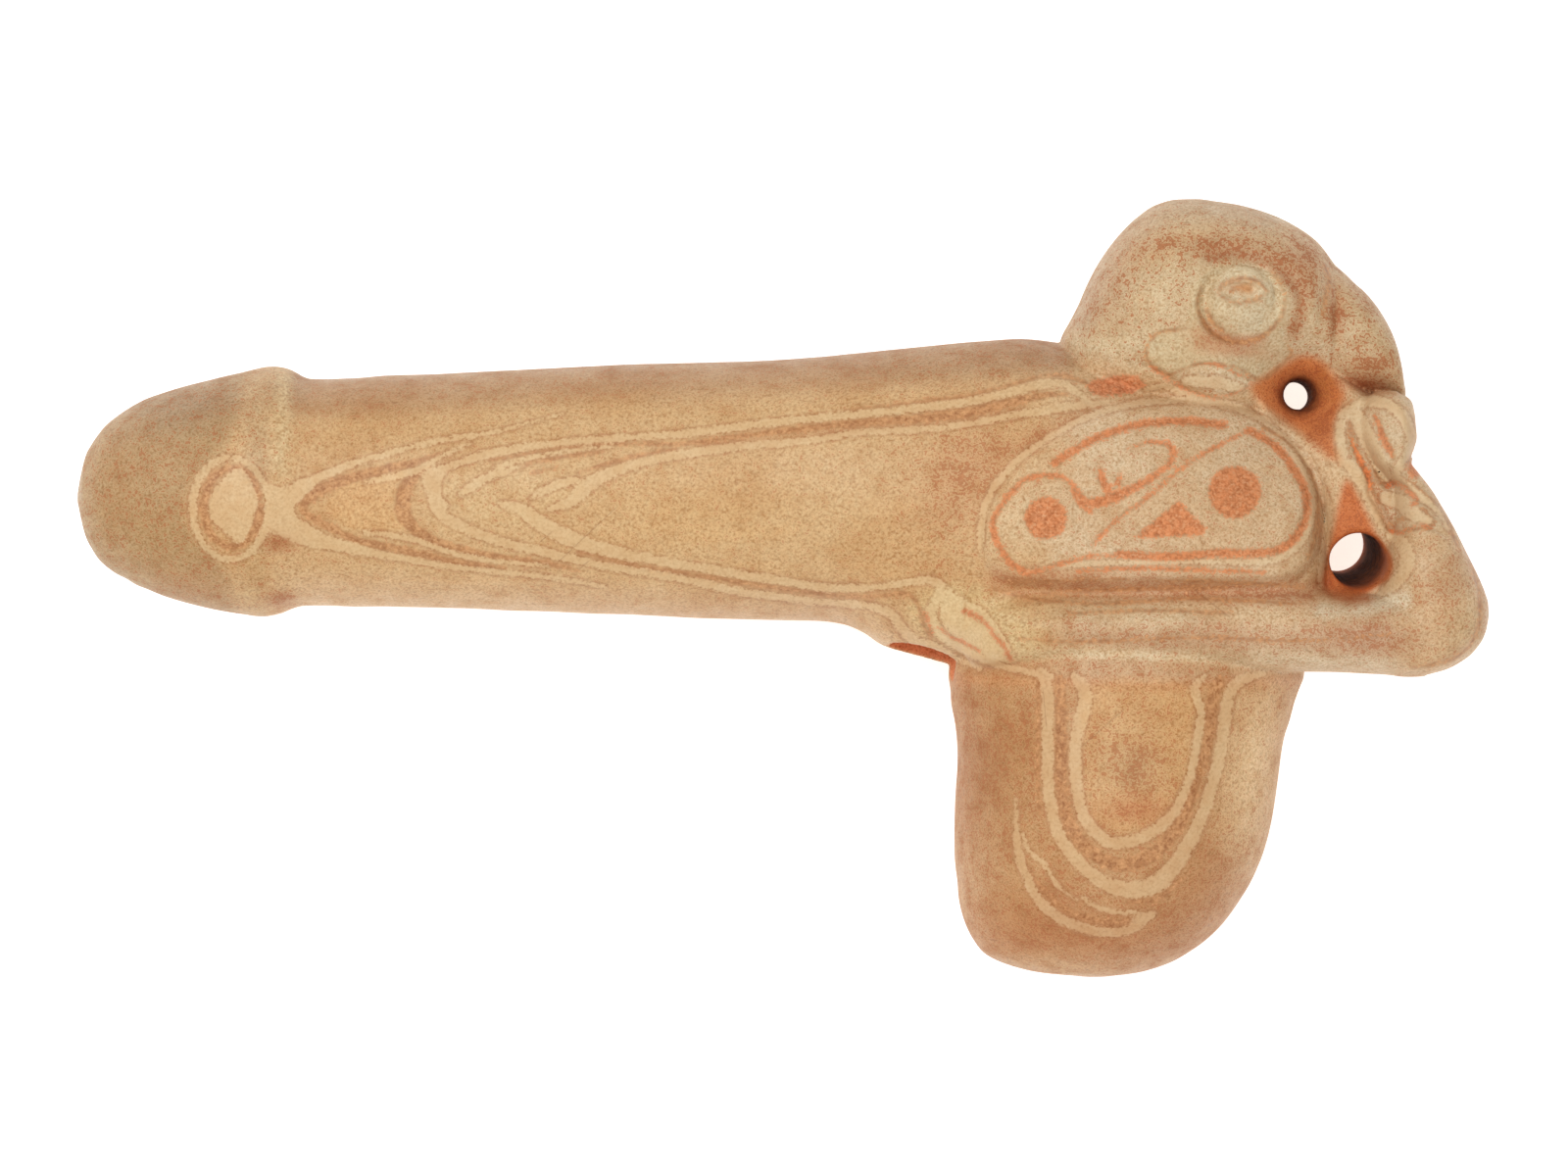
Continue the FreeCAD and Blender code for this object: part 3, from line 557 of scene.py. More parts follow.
def band(field, rows, closed=False):
    """Adds a band of clay (x, y, width) to a signed field, positive inside, in side-view units."""
    r = np.asarray(rows, float)
    p = smooth_path(r, closed, 5)
    if closed:
        p = np.vstack([p, p[:1]])
    reach = 16.0
    for a, b in zip(p[:-1], p[1:]):
        lo, hi = np.minimum(a, b)[:2] - reach, np.maximum(a, b)[:2] + reach
        i0, i1 = max(int(lo[0] - P.x0), 0), min(int(hi[0] - P.x0) + 2, P.nx)
        j0, j1 = max(int(lo[1] - P.y0), 0), min(int(hi[1] - P.y0) + 2, P.ny)
        X, Y = P.X[i0:i1, j0:j1], P.Y[i0:i1, j0:j1]
        d = b - a
        t = np.clip(((X - a[0]) * d[0] + (Y - a[1]) * d[1]) / (d[0] ** 2 + d[1] ** 2 + 1e-9), 0, 1)
        v = (a[2] + t * d[2]) / 2 - np.hypot(X - a[0] - t * d[0], Y - a[1] - t * d[1])
        np.maximum(field[i0:i1, j0:j1], v, out=field[i0:i1, j0:j1])


def patch(field, outline):
    p = np.asarray(outline, float)
    lo, hi = p.min(0) - 18, p.max(0) + 18
    i0, i1 = max(int(lo[0] - P.x0), 0), min(int(hi[0] - P.x0) + 2, P.nx)
    j0, j1 = max(int(lo[1] - P.y0), 0), min(int(hi[1] - P.y0) + 2, P.ny)

    class W:
        X, Y, x0, y0, step, nx, ny = P.X[i0:i1, j0:j1], P.Y[i0:i1, j0:j1], P.x0 + i0, P.y0 + j0, 1.0, i1 - i0, j1 - j0
    np.maximum(field[i0:i1, j0:j1], region(W, outline, True, 16.0), out=field[i0:i1, j0:j1])


def oval(cx, cy, rx, ry, w, n=22, tilt=0.0):
    t = np.linspace(0, 2 * math.pi, n, endpoint=False)
    return [(cx + rx * math.cos(q) * (1 + tilt * math.sin(q)), cy + ry * math.sin(q), w + 1.2 * math.sin(2 * q + 1)) for q in t]


cream = np.full(P.X.shape, -16.0, np.float32)
brown = np.full(P.X.shape, -16.0, np.float32)
rust = np.full(P.X.shape, -16.0, np.float32)
# ring on the nose and its lozenge
band(cream, oval(235, 519, 38.5, 52, 7))
band(brown, oval(237, 518, 29, 40, 9))
patch(cream, [(212, 519), (217, 502), (229, 487), (243, 478), (254, 487), (261, 502), (262, 517), (256, 536), (245, 555),
              (232, 545), (219, 533)])
patch(cream, [(270, 497), (285, 498), (300, 495), (314, 490), (326, 489), (316, 502), (305, 512), (300, 519), (304, 527),
              (316, 536), (330, 545), (336, 552), (322, 555), (305, 549), (291, 542), (276, 542)])
CREAM_BANDS = [
    [(300, 496, 9), (312, 493, 9), (335, 483, 8), (357, 474, 7), (380, 467, 6.5), (402, 461, 6), (424, 455, 6), (446, 450, 5.5),
     (470, 446, 5), (487, 444, 4), (515, 438, 3.4), (545, 430, 3), (575, 422, 2)],
    [(285, 541, 8), (300, 547, 12), (320, 551, 14), (345, 556, 13), (370, 562, 10), (402, 568, 7), (436, 574, 6), (469, 579, 5.5),
     (503, 583, 5.5), (536, 586, 5), (580, 592, 4.5), (618, 599, 3)],
    [(372, 543, 4), (400, 546, 5.5), (425, 551, 5.5), (446, 559, 5.5), (470, 566, 5), (500, 572, 5), (530, 575, 4.5), (560, 577, 3)],
    [(432, 486, 5), (446, 480, 8), (464, 474, 7), (491, 465, 8), (513, 460, 8), (536, 456, 8), (570, 452, 7), (603, 449, 7),
     (650, 446, 6.5), (700, 442, 7.5), (757, 435, 7.5), (815, 428, 7.5), (872, 423, 7.5), (930, 417, 7.5), (987, 410, 8),
     (1033, 400, 9), (1055, 394, 9), (1072, 391, 8), (1088, 393, 7), (1102, 402, 6), (1112, 412, 4)],
    [(505, 478, 4), (527, 470, 4.5), (560, 463, 4.5), (590, 459, 4), (625, 455, 3)],
    [(372, 492, 4), (395, 487, 6), (420, 482, 7), (438, 473, 6), (460, 461, 4.5), (480, 452, 3)],
    [(470, 505, 5), (482, 496, 9), (498, 487, 9), (516, 481, 6), (534, 476, 3)],
    [(542, 508, 4), (556, 500, 8), (572, 494, 9), (588, 489, 6)],
    [(560, 519, 5), (583, 512, 11), (594, 500, 15), (609, 489, 13), (625, 482, 11), (648, 474, 9), (670, 468, 8), (700, 463, 8.5),
     (757, 455, 8.5), (795, 452, 7.5), (829, 449, 6.5), (878, 441, 6), (930, 439, 6), (987, 433, 6), (1030, 424, 7),
     (1059, 420, 8), (1075, 417, 9), (1100, 414, 8), (1130, 411, 5)],
    [(436, 492, 8), (441, 505, 10), (446, 520, 11), (460, 532, 11), (491, 546, 10), (524, 556, 9), (558, 564, 9), (591, 572, 8),
     (625, 579, 8), (662, 585, 7.5), (700, 592, 8), (757, 604, 8), (795, 609, 7.5), (829, 614, 6.5), (884, 618, 7), (907, 625, 9),
     (918, 638, 10), (930, 652, 9), (953, 660, 8), (975, 671, 6), (1000, 682, 5)],
    [(512, 514, 6), (531, 520, 11), (546, 530, 15), (565, 542, 16), (595, 554, 15), (627, 563, 12.5), (662, 570, 9.5), (700, 577, 9),
     (733, 582, 9), (766, 588, 9), (795, 592, 8), (823, 597, 8), (850, 600, 8), (872, 600, 7.5), (895, 599, 6.5), (918, 596, 7),
     (944, 592, 8), (957, 595, 9), (961, 604, 10), (953, 617, 11), (950, 630, 11), (956, 642, 11), (975, 658, 10), (1004, 673, 8),
     (1036, 683, 6.5), (1073, 690, 5)],
    # pod
    [(1064, 687, 12), (1069, 712, 12), (1069, 746, 12), (1069, 778, 12), (1071, 812, 12), (1079, 848, 12), (1098, 877, 13),
     (1123, 899, 14), (1152, 908, 17), (1181, 901, 18), (1206, 873, 15), (1228, 829, 12), (1243, 778, 12), (1250, 733, 12),
     (1255, 707, 12), (1267, 694, 11), (1289, 687, 6)],
    [(1096, 689, 8), (1107, 705, 14), (1105, 726, 14), (1098, 755, 12), (1098, 793, 12), (1104, 828, 12), (1120, 852, 12),
     (1140, 861, 12), (1168, 853, 12), (1193, 835, 11), (1212, 800, 9), (1222, 755, 9), (1225, 724, 9), (1219, 702, 9), (1230, 690, 6)],
    [(1037, 815, 2.5), (1037, 838, 6), (1038, 862, 8), (1044, 886, 9), (1059, 917, 10), (1085, 939, 10), (1123, 951, 10),
     (1152, 949, 9), (1166, 938, 13), (1177, 933, 6)],
    [(1043, 850, 2.5), (1050, 868, 5), (1066, 883, 5), (1079, 903, 4), (1098, 918, 3)],
    [(1105, 917, 3), (1118, 925, 5), (1140, 931, 5.5), (1164, 931, 4)],
    # shoulder plate's cream turns and the strip beyond it
    [(1000, 560, 6), (1002, 530, 7), (1010, 505, 7), (1028, 480, 7), (1060, 453, 6), (1100, 430, 6), (1140, 416, 6), (1180, 409, 7),
     (1225, 409, 8), (1262, 416, 8), (1292, 429, 6)],
    [(1046, 583, 4), (1100, 576, 5), (1160, 574, 5), (1220, 573, 5), (1290, 573, 6), (1318, 562, 7), (1334, 540, 8), (1339, 510, 8),
     (1332, 484, 7), (1318, 462, 6)],
    [(1350, 498, 6), (1355, 520, 7), (1353, 548, 7), (1349, 575, 7), (1347, 598, 5)],
    [(1370, 469, 10), (1380, 478, 12), (1392, 498, 11), (1402, 520, 9), (1411, 540, 7)],
    # rim of the gap in the arms
    [(1417, 546, 8), (1428, 552, 13), (1436, 566, 15), (1433, 582, 14), (1423, 596, 12), (1408, 606, 7)],
    # hand rolls, cuff, thumb strip
    [(1370, 424, 9), (1384, 413, 10), (1402, 409, 11), (1420, 415, 11), (1433, 427, 11), (1440, 443, 11), (1438, 459, 9), (1430, 473, 8),
     (1424, 486, 9), (1434, 495, 8), (1450, 507, 7), (1466, 520, 5), (1478, 540, 4)],
    [(1384, 424, 14), (1391, 438, 17), (1399, 456, 16), (1408, 474, 14), (1414, 486, 11)],
    [(1369, 431, 9), (1367, 446, 10), (1371, 462, 9)],
    [(1414, 508, 12), (1428, 512, 14), (1442, 524, 14), (1458, 531, 8)],
    # chin roll under the cheek, bright rolls along the neck line
    [(1210, 389, 9), (1230, 389, 13), (1250, 392, 12), (1266, 396, 8)],
    [(1168, 398, 4), (1188, 394, 6), (1200, 398, 6), (1222, 405, 5), (1250, 412, 4)],
    [(1280, 426, 5), (1301, 437, 5), (1322, 456, 4), (1336, 476, 3)],
]
for rows in CREAM_BANDS:
    band(cream, rows)
patch(cream, [(432, 486), (446, 478), (458, 476), (452, 490), (450, 503), (457, 516), (448, 520), (437, 508)])
patch(cream, [(966, 600), (985, 612), (1003, 622), (1018, 640), (1030, 660), (1036, 676), (1010, 672), (985, 658), (968, 645),
              (960, 628), (962, 612)])
BROWN_BANDS = [
    [(308, 517, 7), (318, 506, 12), (335, 496, 12), (357, 488, 11), (384, 481, 10), (410, 475, 8.5), (430, 470, 6.5), (448, 463, 4)],
    [(308, 521, 7), (322, 531, 8), (339, 539, 8.5), (361, 550, 8), (388, 557, 9), (415, 562, 9), (446, 570, 8.5), (480, 576, 7),
     (515, 580, 5)],
    [(437, 476, 5), (424, 485, 10), (415, 496, 14), (411, 508, 16), (411, 520, 16), (416, 532, 15), (427, 543, 12), (446, 553, 10),
     (470, 561, 9), (500, 567, 8), (530, 571, 7), (560, 575, 6), (590, 582, 4.5)],
    [(530, 478, 3), (545, 472, 4.5), (565, 468, 4.5), (600, 463, 4.5), (615, 461, 3)],
    [(541, 483, 3), (555, 480, 4.5), (568, 477, 3)],
    [(587, 483, 3), (605, 478, 4.5), (630, 470, 5), (655, 464, 4.5), (690, 458, 3.5)],
    [(604, 572, 3), (630, 576, 5), (665, 582, 4.5), (700, 588, 3.5)],
    [(500, 470, 3.5), (550, 461, 3.5), (620, 453, 4.5), (700, 452.5, 5), (757, 445, 6), (815, 438, 7), (872, 432, 8), (930, 428, 9),
     (987, 421, 11), (1030, 411, 10), (1062, 404, 8), (1088, 402, 4)],
    [(591, 563, 3), (650, 577, 4), (700, 585, 4.5), (766, 596, 5), (829, 605, 5), (884, 609, 5), (925, 606, 5), (938, 620, 5),
     (941, 636, 5), (950, 650, 4)],
    [(872, 417.5, 2.5), (930, 410.5, 3), (987, 403, 3.5), (1033, 392, 3.5), (1065, 383, 4), (1090, 384, 4.5), (1108, 391, 6)],
    [(1082, 694, 11), (1083, 746, 13), (1083, 803, 13), (1092, 843, 13), (1114, 870, 14), (1142, 883, 15), (1174, 873, 15),
     (1203, 842, 14), (1221, 795, 12), (1234, 752, 12), (1237, 715, 13), (1246, 694, 10)],
    [(1060, 700, 5), (1059, 745, 5), (1059, 790, 5), (1061, 830, 4)],
    [(1048, 885, 4), (1064, 908, 5), (1088, 928, 6), (1124, 941, 8), (1158, 941, 8)],
    [(1150, 920, 4), (1180, 918, 6), (1208, 896, 4)],
    [(1352, 270, 4), (1356, 285, 6), (1352, 305, 5), (1350, 322, 3)],
    [(1290, 436, 4), (1312, 449, 4), (1329, 468, 4), (1341, 492, 4), (1345, 520, 4.5), (1343, 545, 5), (1335, 568, 4)],
    [(1478, 522, 3), (1492, 552, 3.5), (1504, 584, 4), (1510, 612, 4), (1509, 636, 4), (1500, 658, 4), (1478, 674, 4), (1440, 681, 3)],
    [(1211, 335, 2.5), (1197, 337, 3), (1182, 340, 3.4), (1171, 352, 3.4), (1170, 365, 3.4), (1177, 375, 3.4), (1192, 382, 3.4), (1205, 377, 3),
     (1225, 371, 2.6), (1245, 372, 3), (1265, 376, 3), (1280, 386, 3.4), (1292, 385, 3.4), (1305, 374, 3.2), (1317, 362, 3), (1315, 354, 2.6)],
    # round the foot of the pellet, a dark joint line widened underneath as painted shade, and the thumbed pupil
    [(1226, 292, 2.4), (1222, 308, 2.8), (1226, 326, 3.6), (1240, 341, 4.8), (1262, 349, 5.4), (1284, 345, 5), (1302, 331, 4.4), (1311, 312, 3.6),
     (1308, 292, 3), (1296, 276, 2.4)],
    [(1242, 299, 3.5), (1251, 289, 5), (1268, 284, 5), (1284, 288, 4.4), (1293, 297, 3.5)],
    [(1247, 303, 3.5), (1262, 309, 4.6), (1279, 306, 5.6), (1291, 300, 4)],
    [(1256, 297, 3), (1266, 293, 4.5), (1276, 298, 3.5)],
    [(1231, 316, 3.5), (1237, 329, 4.6), (1248, 337, 4)],
    [(1030, 594, 3), (1090, 592, 4), (1150, 591, 3)],
    [(1063, 606, 4), (1120, 603, 5), (1190, 601, 6), (1250, 600, 5)],
    [(1180, 592, 3), (1240, 594, 4), (1300, 597, 4), (1332, 600, 4)],
    [(1010, 600, 3), (1060, 612, 4), (1130, 616, 4), (1200, 611, 4), (1270, 613, 4), (1330, 616, 3)],
    [(1090, 626, 3), (1180, 623, 4), (1260, 626, 3)],
    [(1040, 652, 3), (1120, 655, 4), (1220, 650, 4), (1320, 654, 4), (1420, 648, 3)],
    [(1372, 416, 3), (1385, 409, 4), (1415, 412, 4), (1431, 423, 4), (1442, 446, 4), (1440, 463, 4), (1425, 482, 4), (1423, 489, 4),
     (1440, 494, 4), (1457, 507, 4), (1471, 526, 4), (1488, 556, 3.4)],
    [(1377, 430, 4.5), (1381, 453, 6), (1394, 481, 7), (1399, 506, 7), (1407, 528, 6), (1420, 543, 4)],
    [(1402, 424, 5), (1410, 443, 7), (1417, 458, 7), (1422, 468, 4)],
    [(1387, 443, 3), (1395, 458, 4), (1402, 469, 4), (1405, 491, 4)],
    [(1406, 495, 3), (1422, 491, 4), (1440, 499, 4.5), (1447, 511, 4), (1437, 517, 3.5)],
    [(1415, 536, 3), (1440, 526, 4), (1452, 520, 4), (1462, 536, 4), (1440, 540, 4), (1422, 543, 3)],
    [(1362, 436, 3), (1365, 468, 4), (1377, 476, 3)],
]
for rows in BROWN_BANDS:
    band(brown, rows)
np.maximum(rust, red, out=rust)
RUST_BANDS = [
    [(1046, 585, 6), (1080, 577, 5), (1110, 568, 4), (1141, 567, 5)],
    [(1100, 583, 4), (1160, 580, 5), (1230, 582, 5), (1290, 584, 4)],
    [(958, 640, 3.5), (968, 648, 4), (982, 655, 4), (1000, 664, 3)],
    [(984, 624, 6), (996, 629, 7), (1006, 637, 5), (1014, 647, 5), (1024, 660, 6), (1032, 673, 5)],
    [(944, 626, 3), (948, 636, 3.5), (951, 645, 3)],
    [(1379, 448, 2), (1386, 466, 4), (1396, 484, 5), (1398, 500, 3)],
    [(1403, 424, 4), (1408, 438, 6), (1414, 452, 6), (1421, 466, 3)],
    [(1414, 497, 4), (1426, 493, 4), (1437, 501, 4.5), (1445, 510, 5), (1440, 516, 5)],
    [(1419, 542, 3.5), (1430, 543, 3.5), (1446, 536, 3), (1460, 538, 3)],
    [(1218, 372, 1.5), (1238, 371, 2), (1261, 381, 2.2), (1277, 389, 2), (1262, 401, 1.5), (1236, 406, 1.5)],
    [(1172, 372, 2.4), (1184, 382, 3), (1200, 392, 2.6), (1216, 400, 2), (1241, 408, 1.6)],
    [(1448, 476, 6), (1454, 486, 5), (1462, 498, 3.5)],
]
for rows in RUST_BANDS:
    band(rust, rows)
patch(rust, [(1108, 395), (1114, 388), (1130, 385), (1150, 382), (1165, 387), (1168, 394), (1156, 401), (1135, 404), (1116, 403)])
patch(rust, [(1436, 474), (1444, 470), (1449, 480), (1446, 488), (1437, 484)])
rust = np.maximum(rust, -16)

# soft tones, on a coarser sheet
Q = Sheet(60.0, 1600.0, 150.0, 1050.0, 3.0)
tone = np.empty(Q.X.shape + (3,))
tone[:] = srgb(205, 167, 123)
stip = np.full(Q.X.shape, 0.22)


def blob(cx, cy, rx, ry, ang=0.0):
    c, s_ = math.cos(math.radians(ang)), math.sin(math.radians(ang))
    dx, dy = Q.X - cx, Q.Y - cy
    return np.exp(-(((dx * c + dy * s_) / rx) ** 2 + ((-dx * s_ + dy * c) / ry) ** 2))


def area_mask(outline, feather):
    return ramp(region(Q, outline, True, 3 * feather + 6), -feather, feather)


def strip_mask(path, half, feather):
    return ramp(half - path_distance(Q, path, False, True, half + 3 * feather), -feather, feather)


def tint(mask, rgb, amount=1.0, grains=None):
    m = (mask * amount)[..., None]
    tone[:] = tone * (1 - m) + srgb(*rgb) * m
    if grains is not None:
        stip[:] = stip * (1 - mask) + grains * mask


# barrel
# painted shade: darker strip along the barrel's top edge
tint(strip_mask([(300, 397), (600, 384), (900, 369), (1080, 356)], 24, 14), (172, 134, 96), 0.9, 0.5)
tint(blob(370, 412, 90, 17), (186, 145, 104), 0.6, 0.45)
tint(blob(560, 400, 160, 16), (192, 153, 112), 0.4)
tint(blob(800, 395, 200, 18), (196, 155, 112), 0.4)
tint(strip_mask([(320, 600), (600, 612), (860, 626)], 16, 10), (204, 166, 127), 0.5)
tint(area_mask([(334, 519), (345, 499), (384, 485), (413, 479), (404, 498), (402, 519), (412, 539), (384, 543), (352, 536)], 3), (212, 170, 122), 0.85, 0.12)
tint(area_mask([(452, 492), (500, 470), (600, 463), (592, 500), (565, 519), (548, 537), (500, 534), (465, 516)], 9), (209, 174, 129), 0.7)
tint(blob(700, 517, 110, 42), (205, 163, 112), 0.6, 0.2)
tint(blob(870, 520, 120, 50), (206, 169, 124), 0.5)
tint(blob(985, 485, 48, 62, 20), (204, 154, 108), 0.6, 0.8)
tint(blob(1075, 445, 60, 16, -25), (206, 156, 112), 0.6, 0.75)
tint(strip_mask([(720, 452), (850, 438), (960, 428), (1040, 412)], 7, 5), (194, 148, 106), 0.6, 0.5)
# nose
GLANS = [(50, 440), (50, 600), (110, 660), (262, 660), (241, 620), (236, 596), (222, 570), (198, 548), (188, 519), (198, 490),
         (224, 462), (240, 430), (246, 400), (252, 360), (120, 360)]
tint(area_mask(GLANS, 10), (184, 154, 114), 0.95, 0.45)
tint(blob(110, 505, 40, 70), (178, 138, 98), 0.4)
tint(blob(150, 470, 60, 40), (184, 144, 104), 0.4)
tint(blob(200, 600, 50, 24), (186, 142, 100), 0.5)
tint(blob(190, 415, 80, 30, -12), (160, 130, 100), 0.8)
tint(strip_mask([(262, 378), (262, 450), (262, 480)], 12, 10), (190, 158, 120), 0.7, 0.35)
tint(strip_mask([(290, 380), (288, 440), (286, 480)], 8, 8), (206, 178, 137), 0.7, 0.15)
tint(strip_mask([(262, 560), (258, 600), (262, 630)], 14, 10), (196, 160, 116), 0.8, 0.3)
tint(blob(286, 555, 15, 9), (176, 116, 70), 0.85, 0.8)
tint(blob(287, 612, 17, 9), (178, 122, 78), 0.7, 0.8)
tint(blob(320, 575, 30, 12), (200, 158, 112), 0.5)
# torso, plate, arms
tint(area_mask([(925, 622), (960, 598), (1000, 600), (1045, 622), (1062, 660), (1040, 684), (1000, 670), (950, 654)], 8), (214, 186, 141), 0.9, 0.15)
tint(area_mask(PLATE, 7), (209, 174, 133), 0.95, 0.3)
tint(blob(1067, 529, 38, 36), (208, 178, 142), 0.8, 0.2)
tint(strip_mask([(1020, 592), (1100, 596), (1180, 600), (1260, 603), (1335, 606)], 10, 14), (204, 152, 112), 0.7, 0.95)
tint(strip_mask([(1090, 640), (1200, 648), (1290, 655), (1400, 650)], 16, 14), (194, 152, 116), 0.55, 0.6)
tint(strip_mask([(1060, 630), (1120, 628), (1200, 632)], 12, 12), (210, 180, 138), 0.6, 0.35)
tint(strip_mask([(1060, 668), (1160, 672), (1300, 672), (1420, 676)], 7, 7), (210, 182, 140), 0.6, 0.3)
# painted highlight: light cream strip along the upper arm towards the elbow
tint(strip_mask([(1352, 622), (1390, 618), (1432, 611)], 9, 8), (216, 193, 157), 0.85, 0.3)
tint(blob(1400, 652, 50, 20), (188, 140, 104), 0.6, 0.75)
tint(blob(1478, 600, 34, 60, -20), (200, 160, 120), 0.6, 0.6)
tint(blob(1500, 640, 24, 30), (204, 172, 128), 0.5, 0.4)
tint(strip_mask([(1466, 500), (1496, 550), (1514, 610), (1516, 640)], 6, 5), (208, 168, 130), 0.6)
# head
HEADZ = [(1085, 350), (1100, 290), (1130, 240), (1170, 205), (1220, 196), (1290, 205), (1350, 250), (1400, 290), (1432, 350), (1450, 400),
         (1440, 412), (1380, 405), (1300, 395), (1220, 390), (1150, 375)]
tint(area_mask(HEADZ, 8), (203, 173, 133), 0.9, 0.35)
tint(strip_mask([(1100, 320), (1130, 262), (1170, 222), (1220, 207), (1290, 222)], 16, 12), (186, 155, 120), 0.75, 0.3)
tint(blob(1128, 300, 26, 50, 28), (188, 148, 108), 0.5, 0.55)
tint(blob(1190, 300, 26, 50, 20), (214, 188, 147), 0.7, 0.45)
tint(blob(1195, 250, 50, 14, -18), (206, 166, 122), 0.5, 0.75)
tint(blob(1270, 238, 50, 12, 10), (208, 176, 134), 0.5, 0.6)
tint(blob(1330, 268, 20, 28, -30), (196, 142, 100), 0.55, 0.85)
tint(blob(1130, 352, 30, 10), (214, 190, 150), 0.6, 0.2)
tint(blob(1370, 345, 40, 50), (210, 182, 142), 0.7, 0.5)
tint(blob(1362, 318, 9, 26), (202, 146, 102), 0.7, 1.0)
tint(blob(1396, 300, 16, 26, -40), (198, 152, 112), 0.4, 0.6)
tint(blob(1392, 392, 26, 9, 6), (197, 122, 76), 0.85, 0.9)
tint(blob(1400, 372, 24, 10), (204, 156, 112), 0.6, 1.0)
tint(strip_mask([(1237, 262), (1254, 259), (1273, 262), (1295, 270), (1313, 282)], 5, 8), (176, 116, 72), 0.95, 1.0)
tint(strip_mask([(1315, 283), (1324, 298), (1326, 318), (1321, 340)], 4, 8), (192, 134, 90), 0.85, 1.0)
tint(strip_mask([(1222, 256), (1250, 250), (1290, 258), (1322, 276), (1336, 300)], 6, 12), (200, 150, 108), 0.6, 1.0)
tint(area_mask(CHEEK, 3), (205, 178, 136), 0.95, 0.12)
tint(area_mask(CHIN, 3), (212, 182, 142), 0.9, 0.2)
tint(blob(1258, 357, 34, 8, 4), (204, 142, 98), 0.75, 0.8)
# painted shadow under the eye pellet, orange-brown
tint(blob(1242, 345, 26, 9, 12), (206, 142, 94), 0.75, 0.9)
tint(blob(1270, 347, 20, 6), (196, 120, 72), 0.85, 0.8)
tint(blob(1266, 309, 40, 40), (213, 189, 151), 0.95, 0.05)
tint(blob(1262, 294, 20, 7), (200, 160, 120), 0.6, 0.4)
tint(blob(1272, 294, 8, 6), (196, 134, 78), 0.9, 0.5)
# painted shade: dark line along the lower edge of the eye pellet
tint(strip_mask([(1228, 330), (1244, 343), (1266, 349), (1288, 344)], 2, 5), (186, 124, 84), 0.85, 0.9)
# suspension funnel and wedge
FUNNEL = [(1277, 394), (1296, 381), (1316, 368), (1331, 363), (1348, 368), (1362, 384), (1369, 397), (1372, 404), (1366, 420),
          (1362, 440), (1363, 456), (1370, 468), (1359, 467), (1345, 455), (1326, 441), (1310, 429), (1299, 421), (1285, 409)]
tint(area_mask(FUNNEL, 6.5), (213, 130, 74), 1.0, 0.6)
tint(blob(1352, 440, 14, 22), (188, 108, 62), 0.6, 0.9)
tint(blob(1352, 394, 9, 22), (186, 116, 56), 0.5)
WEDGE = [(1374, 490), (1383, 501), (1393, 522), (1403, 543), (1412, 566), (1402, 598), (1384, 610), (1362, 606), (1349, 594),
         (1355, 562), (1361, 539), (1367, 509)]
tint(area_mask(WEDGE, 4.5), (202, 114, 62), 1.0, 0.6)
tint(strip_mask([(1345, 596), (1368, 611), (1396, 612)], 4, 6), (186, 112, 66), 0.8, 0.6)
# hand
tint(area_mask([(1364, 425), (1384, 410), (1412, 408), (1436, 424), (1446, 448), (1438, 476), (1460, 505), (1474, 538), (1440, 543),
                (1416, 540), (1404, 500), (1386, 480), (1364, 462)], 4), (205, 173, 133), 0.9, 0.4)
tint(blob(1442, 450, 6, 24), (196, 146, 110), 0.5, 0.6)
tint(strip_mask([(1396, 475), (1402, 500), (1412, 525), (1424, 540)], 2, 6), (176, 120, 78), 0.7, 0.8)
# pod
PODZ = [(965, 690), (1335, 690), (1320, 760), (1300, 860), (1250, 960), (1130, 1010), (1000, 990), (970, 900)]
tint(area_mask(PODZ, 3), (199, 156, 113), 0.95, 0.5)
tint(blob(1010, 780, 46, 110), (180, 132, 84), 0.85, 0.65)
tint(blob(1000, 900, 36, 60), (196, 154, 110), 0.6)
tint(blob(1100, 955, 120, 34), (184, 124, 76), 0.8, 0.6)
tint(blob(1235, 905, 40, 50, 35), (190, 136, 92), 0.65, 0.5)
tint(blob(1280, 780, 30, 90, 8), (226, 190, 146), 0.95, 0.3)
tint(area_mask([(1112, 700), (1214, 698), (1216, 750), (1206, 800), (1180, 835), (1140, 850), (1112, 825), (1106, 770)], 5), (208, 164, 116), 0.9, 0.35)
tint(blob(1152, 776, 44, 44), (208, 170, 124), 0.8, 0.7)
tint(blob(1158, 784, 22, 24), (192, 152, 110), 0.5, 0.9)
tint(blob(1160, 826, 36, 14), (200, 138, 92), 0.8, 0.6)
tint(blob(1080, 925, 30, 30, 40), (184, 132, 92), 0.6, 0.6)
tint(blob(1060, 985, 60, 14), (203, 162, 118), 0.6, 0.3)
# painted shade: darker orange-brown strip across the top of the pod, in the crease under the arm
tint(strip_mask([(975, 693), (1100, 697), (1200, 699), (1320, 694)], 5, 7), (200, 140, 92), 0.6, 0.3)
upper = ramp(Q.X - 1040, 0, 80) * ramp(702 - Q.Y, 0, 8)
tone *= 1 + upper[..., None] * (np.array([1.0, 1.075, 1.16]) - 1)
tone *= 1 + (1 - upper[..., None]) * (np.array([0.985, 0.985, 0.93]) - 1)
arms = upper * ramp(Q.Y - 590, 0, 30)
tone *= 1 + arms[..., None] * (np.array([1.03, 1.05, 1.08]) - 1)
tone = tone.astype(np.float32)


